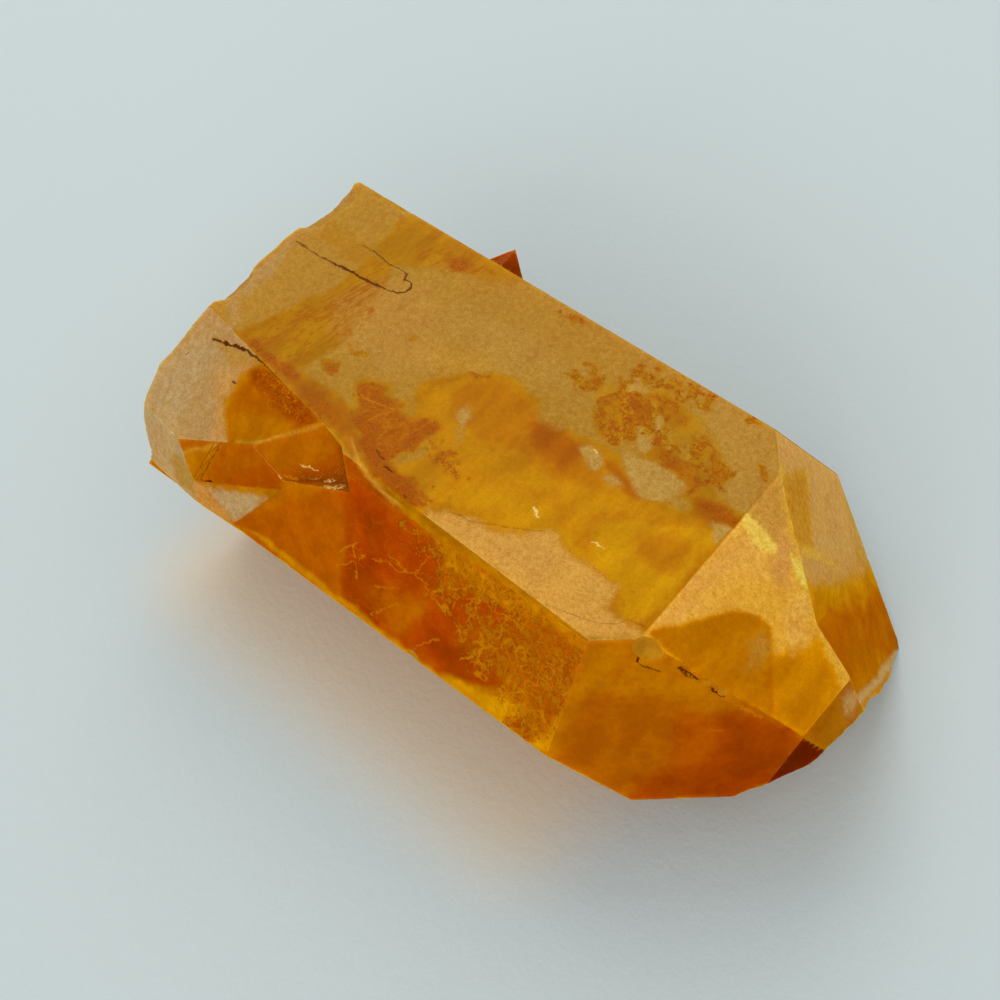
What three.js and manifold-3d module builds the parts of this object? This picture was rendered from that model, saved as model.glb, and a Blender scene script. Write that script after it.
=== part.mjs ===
// A single tangerine quartz point, lying on one of its prism faces.
//
// Millimetres, +Z up. The long axis of the crystal runs along X with the tip at +X. The part's origin
// is the middle of the lying crystal's footprint, on the surface it rests on.
//
// Every flat face is given the way a crystallographer would give it, about the crystal's own centre:
//   around  degrees round the long axis: 0 faces up, 90 faces the front (-Y), 180 faces down
//   lean    degrees the face tips towards the point, negative towards the broken base
//   out     distance of the face from the centre

import * as THREE from 'three';
import { ConvexGeometry } from 'three/addons/geometries/ConvexGeometry.js';
import { mergeVertices } from 'three/addons/utils/BufferGeometryUtils.js';
import Module from 'manifold-3d';

const wasm = await Module();
wasm.setup();

// ---- Driving dimensions ----------------------------------------------------------------------------

const THICKNESS = 25.5;              // between the top face and the face it rests on
const BASE_END = 60;                 // from the centre to where the base would end, had it not broken
const REACH = 90;                    // beyond every part of the crystal, for cuts that run right out

// The six prism faces, two by two parallel, at the unequal distances they grew to.
const TOP = { around: 0, lean: 0, out: THICKNESS / 2 };
const RESTING = { around: 180, lean: 0, out: THICKNESS / 2 };
const FRONT = { around: 59.7, lean: -0.3, out: 18.55 };
const FRONT_LOW = { around: 120.7, lean: 1.6, out: 16.7 };
const BACK_LOW = { around: 240, lean: 0, out: 19 };
const BACK = { around: 299, lean: -0.8, out: 16.65 };
const UNBROKEN_BASE = { around: 0, lean: -90, out: BASE_END };

// The point, and the two faces of a shallow hollow beside its back ridge.
const POINT_TOP = { around: 357.1, lean: 37.9, out: 11.5 };
const POINT_FRONT = { around: 60.8, lean: 37.7, out: 14.6 };
const POINT_LOW = { around: 126, lean: 36, out: 16.45 };
const POINT_BACK = { around: 301.4, lean: 41.3, out: 11.7 };
const HOLLOW_WALLS = [
  { around: 302.9, lean: 45.3, out: 11.15 },
  { around: 308.8, lean: 32.3, out: 10.25 },
];

// The worn ridge between the top and the front, and the flat chips off the very tip.
const RIDGE_BEVEL = { around: 40, lean: -0.8, out: 18.7 };
const TIP_CHIP_UPPER = { around: 356, lean: 50, out: 13.4 };
const TIP_CHIP_FRONT = { around: 64.7, lean: 48.4, out: 15.9 };

// The side crystal, grown together with the front of the base.
const SIDE_FACES = [
  { around: 32.2, lean: -4.6, out: 19.85 },    // its top, which meets the main top face in a crease
  { around: 49.8, lean: 12.2, out: 9.85 },     // the small face at its tip end
  { around: 58.9, lean: 8.5, out: 12.9 },      // its front
  { around: 73.8, lean: 14, out: 9.85 },       // the pale triangle below its front
  { around: 69.2, lean: 12.9, out: 10.25 },    // its rubbed lower edge
  { around: 71.6, lean: -7.3, out: 26.55 },    // its broken base side
  { around: 124.7, lean: -1.3, out: 18.05 },   // its underside
  { around: 120, lean: 38.2, out: -9 },        // the point of its underside
];
const SIDE_ROOT = [
  { around: 270, lean: 0, out: 0 },            // how far it reaches into the main crystal
  { around: 180, lean: 0, out: 11.5 },
];

// The corner of the main crystal that the side crystal took the place of.
const POCKET_WALLS = [
  { around: 90, lean: -8.6, out: 16.95 },
  { around: 88, lean: -37.6, out: 29 },
  { around: 334.7, lean: -23.8, out: 13.9 },
];

// A small crystal that grew out of the back face, near the top edge.
const SPROUT = {
  at: new THREE.Vector3(-35.3, 11, 7.6),
  towards: new THREE.Vector3(-0.02, 0.8, 0.58),
  turn: 20,
  faceOut: 2.5,
  pointOut: 3.2,
  root: 5,
};

// A low plate of later growth, with sloping edges, on the lower back face: from and to are measured
// along the crystal, and near and far across the face, from the line below the crystal's centre.
const PLATE = { rise: 0.6, root: 0.4, slope: 28, from: -44, to: -13, near: 2, far: 5.8 };

// Broken surfaces. strike is where the break spreads from, in the plane of the break, and ripple,
// wave and rough are the height and spacing of its shell-like rings and the height of its roughness.
const BREAKS = [
  {
    face: { around: 4, lean: -64.5, out: 52.95 },            // the base, above
    size: [60, 40], cells: [50, 30], strike: [14, 2],
    bowl: 0.3, ripple: 0.18, wave: 3.6, rough: 0.3, seed: 3,
  },
  {
    face: { around: 170, lean: -80, out: 53.1 },             // the base, below
    size: [68, 50], cells: [46, 32], strike: [9, -2],
    bowl: 1.6, ripple: 0.42, wave: 5.2, rough: 0.5, seed: 5,
  },
  {
    face: { around: 14.3, lean: -25.4, out: 33.75 },         // the side crystal's end
    size: [30, 26], cells: [20, 17], strike: [4, -6],
    bowl: 0.1, ripple: 0.05, wave: 4, rough: 0.12, seed: 11,
  },
  {
    face: { around: 134.6, lean: 56.9, out: 16.4 },          // under the tip, at the front
    size: [44, 30], cells: [40, 26], strike: [2, -8],
    bowl: 0.9, ripple: 0.2, wave: 4.2, rough: 0.2, seed: 29,
  },
  {
    face: { around: 173.4, lean: 65.4, out: 15.8 },          // under the tip, at the end
    size: [44, 30], cells: [40, 26], strike: [-3, 1],
    bowl: 0.2, ripple: 0.14, wave: 3.8, rough: 0.2, seed: 31,
  },
];

// Small bites along the edges: where, how wide and how deep.
const NICKS = [
  { at: [4.9, -11.1, 11.5], radius: 2.3, depth: 0.75 },
  { at: [8.7, -9.4, 8.3], radius: 0.9, depth: 0.4 },
  { at: [9.7, -8.8, 7.4], radius: 0.7, depth: 0.35 },
  { at: [-55.2, 4.2, 12.75], radius: 10, depth: 1.1 },
  { at: [-55.1, -4.6, 12.75], radius: 5.2, depth: 1.6 },
  { at: [-54.8, 11.8, 12], radius: 3, depth: 1.5 },
  { at: [-46.6, 11.4, 12.8], radius: 2.6, depth: 0.6 },
  { at: [-49.6, 11, 12.9], radius: 2.4, depth: 0.4 },
  { at: [-16.4, -20.6, 1.6], radius: 1.4, depth: 0.35 },
  { at: [-27.5, 20.4, -2.5], radius: 2, depth: 0.6 },
  { at: [-8.2, 15.6, -12.4], radius: 1.8, depth: 0.5 },
];

// ---- Faces and solids ------------------------------------------------------------------------------

// The half-space inside a face, as the face's outward normal and its distance.
function halfSpace({ around, lean, out }) {
  const turn = THREE.MathUtils.degToRad(around);
  const tilt = THREE.MathUtils.degToRad(lean);
  const normal = new THREE.Vector3(
    Math.sin(tilt),
    -Math.sin(turn) * Math.cos(tilt),
    Math.cos(turn) * Math.cos(tilt),
  );
  return { normal, out };
}

// The half-space outside a face, to cut away with.
function beyond(face) {
  const { normal, out } = halfSpace(face);
  return { normal: normal.negate(), out: -out };
}

// The six sides of a block that takes in everything within REACH of the centre.
function surroundings() {
  const sides = [];
  for (const axis of [[1, 0, 0], [0, 1, 0], [0, 0, 1]]) {
    sides.push({ normal: new THREE.Vector3(...axis), out: REACH });
    sides.push({ normal: new THREE.Vector3(...axis).negate(), out: REACH });
  }
  return sides;
}

// Where three planes meet, or null where two of them are parallel.
function corner(a, b, c) {
  const across = new THREE.Vector3().crossVectors(b.normal, c.normal);
  const volume = a.normal.dot(across);
  if (Math.abs(volume) < 1e-6) return null;
  const point = across.multiplyScalar(a.out);
  point.addScaledVector(new THREE.Vector3().crossVectors(c.normal, a.normal), b.out);
  point.addScaledVector(new THREE.Vector3().crossVectors(a.normal, b.normal), c.out);
  return point.divideScalar(volume);
}

// The convex block that a set of half-spaces encloses.
function enclosed(halfSpaces) {
  const points = [];
  for (let i = 0; i < halfSpaces.length; i += 1) {
    for (let j = i + 1; j < halfSpaces.length; j += 1) {
      for (let k = j + 1; k < halfSpaces.length; k += 1) {
        const point = corner(halfSpaces[i], halfSpaces[j], halfSpaces[k]);
        const inside = point && halfSpaces.every((h) => h.normal.dot(point) <= h.out + 1e-6);
        if (inside && !points.some((p) => p.distanceTo(point) < 1e-4)) points.push(point);
      }
    }
  }
  return new ConvexGeometry(points);
}

// A closed geometry as a solid that can be joined and cut.
function solid(geometry) {
  const bare = new THREE.BufferGeometry().setAttribute('position', geometry.getAttribute('position'));
  if (geometry.index) bare.setIndex(geometry.index);
  const merged = mergeVertices(bare, 1e-5);
  return new wasm.Manifold(new wasm.Mesh({
    numProp: 3,
    vertProperties: Float32Array.from(merged.getAttribute('position').array),
    triVerts: Uint32Array.from(merged.index.array),
  }));
}

function geometryOf(manifold) {
  const mesh = manifold.getMesh();
  const geometry = new THREE.BufferGeometry();
  geometry.setAttribute('position', new THREE.BufferAttribute(mesh.vertProperties, 3));
  geometry.setIndex(new THREE.BufferAttribute(mesh.triVerts, 1));
  return geometry;
}

const crystal = (faces) => solid(enclosed(faces.map(halfSpace)));
const outside = (faces) => solid(enclosed([...faces.map(beyond), ...surroundings()]));

// ---- Broken surfaces -------------------------------------------------------------------------------

// A repeatable number from 0 to 1 for a lattice point.
function scatter(i, j, seed) {
  const s = Math.sin(i * 127.1 + j * 311.7 + seed * 74.7) * 43758.5453;
  return s - Math.floor(s);
}

// Smooth noise from -1 to 1, with bumps about one unit apart.
function noise(x, y, seed) {
  const i = Math.floor(x);
  const j = Math.floor(y);
  const u = THREE.MathUtils.smoothstep(x - i, 0, 1);
  const v = THREE.MathUtils.smoothstep(y - j, 0, 1);
  const near = THREE.MathUtils.lerp(scatter(i, j, seed), scatter(i + 1, j, seed), u);
  const far = THREE.MathUtils.lerp(scatter(i, j + 1, seed), scatter(i + 1, j + 1, seed), u);
  return 2 * THREE.MathUtils.lerp(near, far, v) - 1;
}

// The height of a shell-like break over its plane: a shallow bowl round the strike, rings that fade
// away from it, ledges where the break jumped from one level to the next, and roughness.
function breakHeight(x, y, { strike, bowl, ripple, wave, rough, seed }) {
  const dx = x - strike[0];
  const dy = y - strike[1];
  const distance = Math.hypot(dx, dy);
  const bend = 0.35 * wave * noise(dx / 9, dy / 9, seed);
  const rings = Math.sin((2 * Math.PI * (distance + bend)) / wave);
  const dish = -bowl * Math.exp(-((distance / (3 * wave)) ** 2));
  const ledges = 1.2 * rough * Math.tanh(6 * noise(x / 11 + 7, y / 6 + 3, seed + 1));
  const grain = rough * (0.6 * noise(x / 4, y / 4, seed + 2) + 0.4 * noise(x / 1.9, y / 1.9, seed + 3));
  return dish + ripple * rings * Math.exp(-distance / (6 * wave)) + ledges + grain;
}

// Everything beyond a broken surface: a slab whose near side carries the relief of the break.
function brokenAway(spec) {
  const [width, height] = spec.size;
  const slab = new THREE.BoxGeometry(width, height, REACH, ...spec.cells, 1);
  slab.translate(0, 0, REACH / 2);
  const position = slab.getAttribute('position');
  for (let i = 0; i < position.count; i += 1) {
    if (position.getZ(i) < REACH / 2) {
      position.setZ(i, breakHeight(position.getX(i), position.getY(i), spec));
    }
  }
  const { normal, out } = halfSpace(spec.face);
  const sideways = new THREE.Vector3(0, 0, 1).cross(normal).normalize();
  const upwards = new THREE.Vector3().crossVectors(normal, sideways);
  slab.applyMatrix4(new THREE.Matrix4().makeBasis(sideways, upwards, normal));
  slab.translate(normal.x * out, normal.y * out, normal.z * out);
  return solid(slab);
}

// A small many-sided ball that bites into an edge from outside.
function nick({ at, radius, depth }) {
  const centre = new THREE.Vector3(...at);
  const outwards = new THREE.Vector3(0, at[1], at[2]).normalize();
  centre.addScaledVector(outwards, radius - depth);
  const ball = new THREE.IcosahedronGeometry(radius, 1);
  ball.translate(centre.x, centre.y, centre.z);
  return solid(ball);
}

// ---- The crystal -----------------------------------------------------------------------------------

// The main crystal: the prism and its point, less the pocket and the hollow.
function mainCrystal() {
  const body = crystal([
    TOP, FRONT, FRONT_LOW, RESTING, BACK_LOW, BACK,
    POINT_TOP, POINT_FRONT, POINT_LOW, POINT_BACK, RIDGE_BEVEL, TIP_CHIP_UPPER, TIP_CHIP_FRONT,
    UNBROKEN_BASE,
  ]);
  return body
    .subtract(outside(HOLLOW_WALLS))
    .subtract(outside(POCKET_WALLS));
}

function sideCrystal() {
  return crystal([TOP, ...SIDE_FACES, ...SIDE_ROOT, UNBROKEN_BASE]);
}

// The small crystal on the back: a six-sided prism with a six-faced point.
function sproutCrystal() {
  const faces = [{ around: 0, lean: -90, out: SPROUT.root }];
  for (let side = 0; side < 6; side += 1) {
    faces.push({ around: 60 * side, lean: 0, out: SPROUT.faceOut });
    faces.push({ around: 60 * side, lean: 38.2, out: SPROUT.pointOut });
  }
  const geometry = enclosed(faces.map(halfSpace));
  geometry.rotateX(THREE.MathUtils.degToRad(SPROUT.turn));
  const aim = new THREE.Quaternion().setFromUnitVectors(
    new THREE.Vector3(1, 0, 0),
    SPROUT.towards.clone().normalize(),
  );
  geometry.applyQuaternion(aim);
  geometry.translate(SPROUT.at.x, SPROUT.at.y, SPROUT.at.z);
  return solid(geometry);
}

// A face tipped away from another one, through a line on it: along is where the line crosses the
// crystal's length, and across is how far round the face it lies.
function edgeOfPlate(turned, lean, along, across) {
  const turn = THREE.MathUtils.degToRad(turned);
  const tilt = THREE.MathUtils.degToRad(lean);
  const level = BACK_LOW.out * Math.cos(turn) + across * Math.sin(turn);
  return { around: BACK_LOW.around + turned, lean, out: along * Math.sin(tilt) + level * Math.cos(tilt) };
}

// The low growth plate, a little proud of the face it lies on.
function growthPlate() {
  const { rise, root, slope, from, to, near, far } = PLATE;
  return crystal([
    { ...BACK_LOW, out: BACK_LOW.out + rise },
    edgeOfPlate(0, slope, to, 0),
    edgeOfPlate(0, -slope, from, 0),
    edgeOfPlate(slope, 0, 0, far),
    edgeOfPlate(-slope, 0, 0, -near),
    { around: BACK_LOW.around + 180, lean: 0, out: root - BACK_LOW.out },
  ]);
}

function tangerineQuartz() {
  let whole = mainCrystal().add(sideCrystal()).add(sproutCrystal()).add(growthPlate());
  for (const spec of BREAKS) whole = whole.subtract(brokenAway(spec));
  for (const spec of NICKS) whole = whole.subtract(nick(spec));
  return geometryOf(whole);
}

const tangerine = new THREE.MeshStandardMaterial({ color: 0xd98a1e, roughness: 0.18, metalness: 0 });
const quartz = new THREE.Mesh(tangerineQuartz(), tangerine);
quartz.name = 'quartz_crystal';
quartz.geometry.computeBoundingBox();
const { min, max } = quartz.geometry.boundingBox;
quartz.position.set(-(min.x + max.x) / 2, -(min.y + max.y) / 2, -min.z);

const part = new THREE.Group();
part.add(quartz);

export default part;
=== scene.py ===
# The looks of the tangerine quartz point, built round its imported solid.
#
# Lengths named ..._mm are in millimetres about the crystal's own centre, with X along the crystal
# towards its tip. Faces are named as they lie. Zones, patches and lines are drawn as the camera
# sees them, on a frame 1000 across and 1000 down, and seen_on lays them on their faces.

import math

import bpy
import numpy as np
from mathutils import Matrix, Vector, noise
from mathutils.geometry import delaunay_2d_cdt


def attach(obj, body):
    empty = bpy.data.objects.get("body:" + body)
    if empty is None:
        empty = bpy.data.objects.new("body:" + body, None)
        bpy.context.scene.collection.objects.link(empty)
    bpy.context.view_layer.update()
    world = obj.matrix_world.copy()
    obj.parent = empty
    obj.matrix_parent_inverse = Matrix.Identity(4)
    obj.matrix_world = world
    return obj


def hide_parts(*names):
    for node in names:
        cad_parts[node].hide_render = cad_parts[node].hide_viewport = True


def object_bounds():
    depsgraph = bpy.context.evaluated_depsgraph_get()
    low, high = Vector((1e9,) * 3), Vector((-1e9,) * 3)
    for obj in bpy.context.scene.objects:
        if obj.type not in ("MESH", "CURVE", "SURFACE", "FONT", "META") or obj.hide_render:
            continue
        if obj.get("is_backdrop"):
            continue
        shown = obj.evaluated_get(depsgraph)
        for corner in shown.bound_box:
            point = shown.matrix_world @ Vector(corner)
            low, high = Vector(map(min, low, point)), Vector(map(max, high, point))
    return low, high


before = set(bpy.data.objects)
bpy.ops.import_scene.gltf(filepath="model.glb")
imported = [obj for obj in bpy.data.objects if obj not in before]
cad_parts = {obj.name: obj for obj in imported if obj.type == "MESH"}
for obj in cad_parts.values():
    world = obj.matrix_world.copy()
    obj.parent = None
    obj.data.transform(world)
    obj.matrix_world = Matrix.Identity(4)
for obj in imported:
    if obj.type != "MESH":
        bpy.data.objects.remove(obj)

bl_info = {
    "name": "Tangerine Quartz Point",
    "version": (1, 0, 0),
    "blender": (4, 5, 0),
    "location": "3D View > Sidebar > Quartz",
    "description": "Dresses the solid of a tangerine quartz crystal with its skin, stains and light",
    "category": "Object",
}

CAD_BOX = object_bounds()
MM_PER_METRE = 1000.0
BAND_TURN = 80.0            # degrees the fibrous band is turned from the long axis
CENTRE_MM = np.array([19.413, 0.620, 12.750])      # the crystal's centre in the part's own frame

# Where the camera stands, and the ways that its right, its foot and its lens point.
EYE_MM = np.array([58.2258, -64.2327, 140.3481])
EYE_RIGHT = np.array([0.72537629, 0.67777321, -0.12021943])
EYE_DOWN = np.array([0.50661588, -0.64389642, -0.57335656])
EYE_AHEAD = np.array([-0.46601458, 0.35499418, -0.81043787])
LENS_MM = 66.13
SENSOR_MM = 36.0
FRAME_ACROSS = 1000         # the drawn frame's width and height

# Each flat face: degrees round the long axis, degrees leaning to the tip, mm from the centre.
FACES = {
    "top": (0, 0, 12.75),
    "front": (59.7, -0.3, 18.55),
    "front_low": (120.7, 1.6, 16.7),
    "resting": (180, 0, 12.75),
    "back_low": (240, 0, 19),
    "plate": (240, 0, 19.6),
    "back": (299, -0.8, 16.65),
    "point_top": (357.1, 37.9, 11.5),
    "point_front": (60.8, 37.7, 14.6),
    "point_low": (126, 36, 16.45),
    "point_back": (301.4, 41.3, 11.7),
    "hollow_upper": (302.9, 45.3, 11.15),
    "hollow_lower": (308.8, 32.3, 10.25),
    "ridge": (40, -0.8, 18.7),
    "chip_upper": (356, 50, 13.4),
    "chip_front": (64.7, 48.4, 15.9),
    "side_top": (32.2, -4.6, 19.85),
    "side_tip": (49.8, 12.2, 9.85),
    "side_front": (58.9, 8.5, 12.9),
    "side_pale": (73.8, 14, 9.85),
    "side_edge": (69.2, 12.9, 10.25),
    "side_base": (71.6, -7.3, 26.55),
    "side_low": (124.7, -1.3, 18.05),
    "side_low_point": (120, 38.2, -9),
}
SEEN_FROM_ABOVE = {"top", "point_top", "point_back", "hollow_upper", "hollow_lower", "side_top", "ridge",
                   "chip_upper"}
BROKEN_FACES = {
    "base_upper": (4, -64.5, 52.95),
    "base_lower": (170, -80, 53.1),
    "side_end": (14.3, -25.4, 33.75),
    "tip_front": (134.6, 56.9, 16.4),
    "tip_end": (173.4, 65.4, 15.8),
}
FINE_FACES = {"top", "front", "ridge", "point_top", "point_front", "point_back", "side_top", "side_tip",
              "side_front", "side_pale"}

# The colours of the stone as they should look in the finished picture.
TONES = {
    "veil": (181, 134, 44),
    "tan": (180, 132, 46),
    "grey": (184, 138, 58),
    "rosy": (200, 144, 74),
    "pale": (215, 160, 72),
    "straw": (214, 158, 52),
    "honey": (190, 126, 0),
    "gold": (194, 130, 0),
    "amber": (182, 112, 0),
    "fire": (179, 98, 0),
    "burnt": (167, 87, 0),
    "rust": (170, 78, 0),
    "deep": (146, 58, 0),
    "olive": (156, 96, 4),
    "dark": (104, 30, 0),
    "frost": (182, 144, 90),
    "milk": (184, 156, 112),
    "haze": (190, 150, 76),
    "ochre": (174, 117, 0),
    "lemon": (206, 145, 0),
    "ember": (168, 60, 0),
    "flame": (172, 84, 0),
    "blush": (180, 132, 78),
    "umber": (150, 72, 0),
    "chip": (192, 132, 20),
    # A painted highlight: the tone of light glinting off small inner fractures.
    "painted_glint": (255, 212, 96),
}

# The tone that each face has under its zones.
GROUNDS = {
    "top": "tan", "front": "fire", "front_low": "fire", "resting": "amber", "back_low": "amber",
    "plate": "honey", "back": "tan", "point_top": "straw", "point_front": "amber", "point_low": "burnt",
    "point_back": "rosy", "hollow_upper": "straw", "hollow_lower": "burnt", "ridge": "ochre",
    "chip_upper": "olive", "chip_front": "dark", "side_top": "frost", "side_tip": "amber",
    "side_front": "fire", "side_pale": "blush", "side_edge": "amber", "side_base": "milk",
    "side_low": "amber", "side_low_point": "amber", "base_upper": "milk", "base_lower": "rosy",
    "side_end": "frost", "tip_front": "burnt", "tip_end": "rosy", "nick": "chip", "sprout": "deep",
}

# Painted light: how much brighter each face's colour is painted than its top one's, for the same tone,
# standing in for the light the stone gives off at each face.
FACE_PAINTED_LIGHT = {
    "front": 1.12, "front_low": 1.12, "point_front": 1.12, "point_low": 1.12, "point_top": 1.3,
    "point_back": 1.5, "hollow_upper": 1.45, "hollow_lower": 1.45, "side_front": 1.1, "side_tip": 1.1,
    "side_edge": 1.08, "side_pale": 1.08, "side_top": 1.05, "chip_upper": 1.35, "tip_end": 1.5,
}
OPEN_LIGHT = 1.03          # the paper's brightness against that of the same tone on the stone

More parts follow.
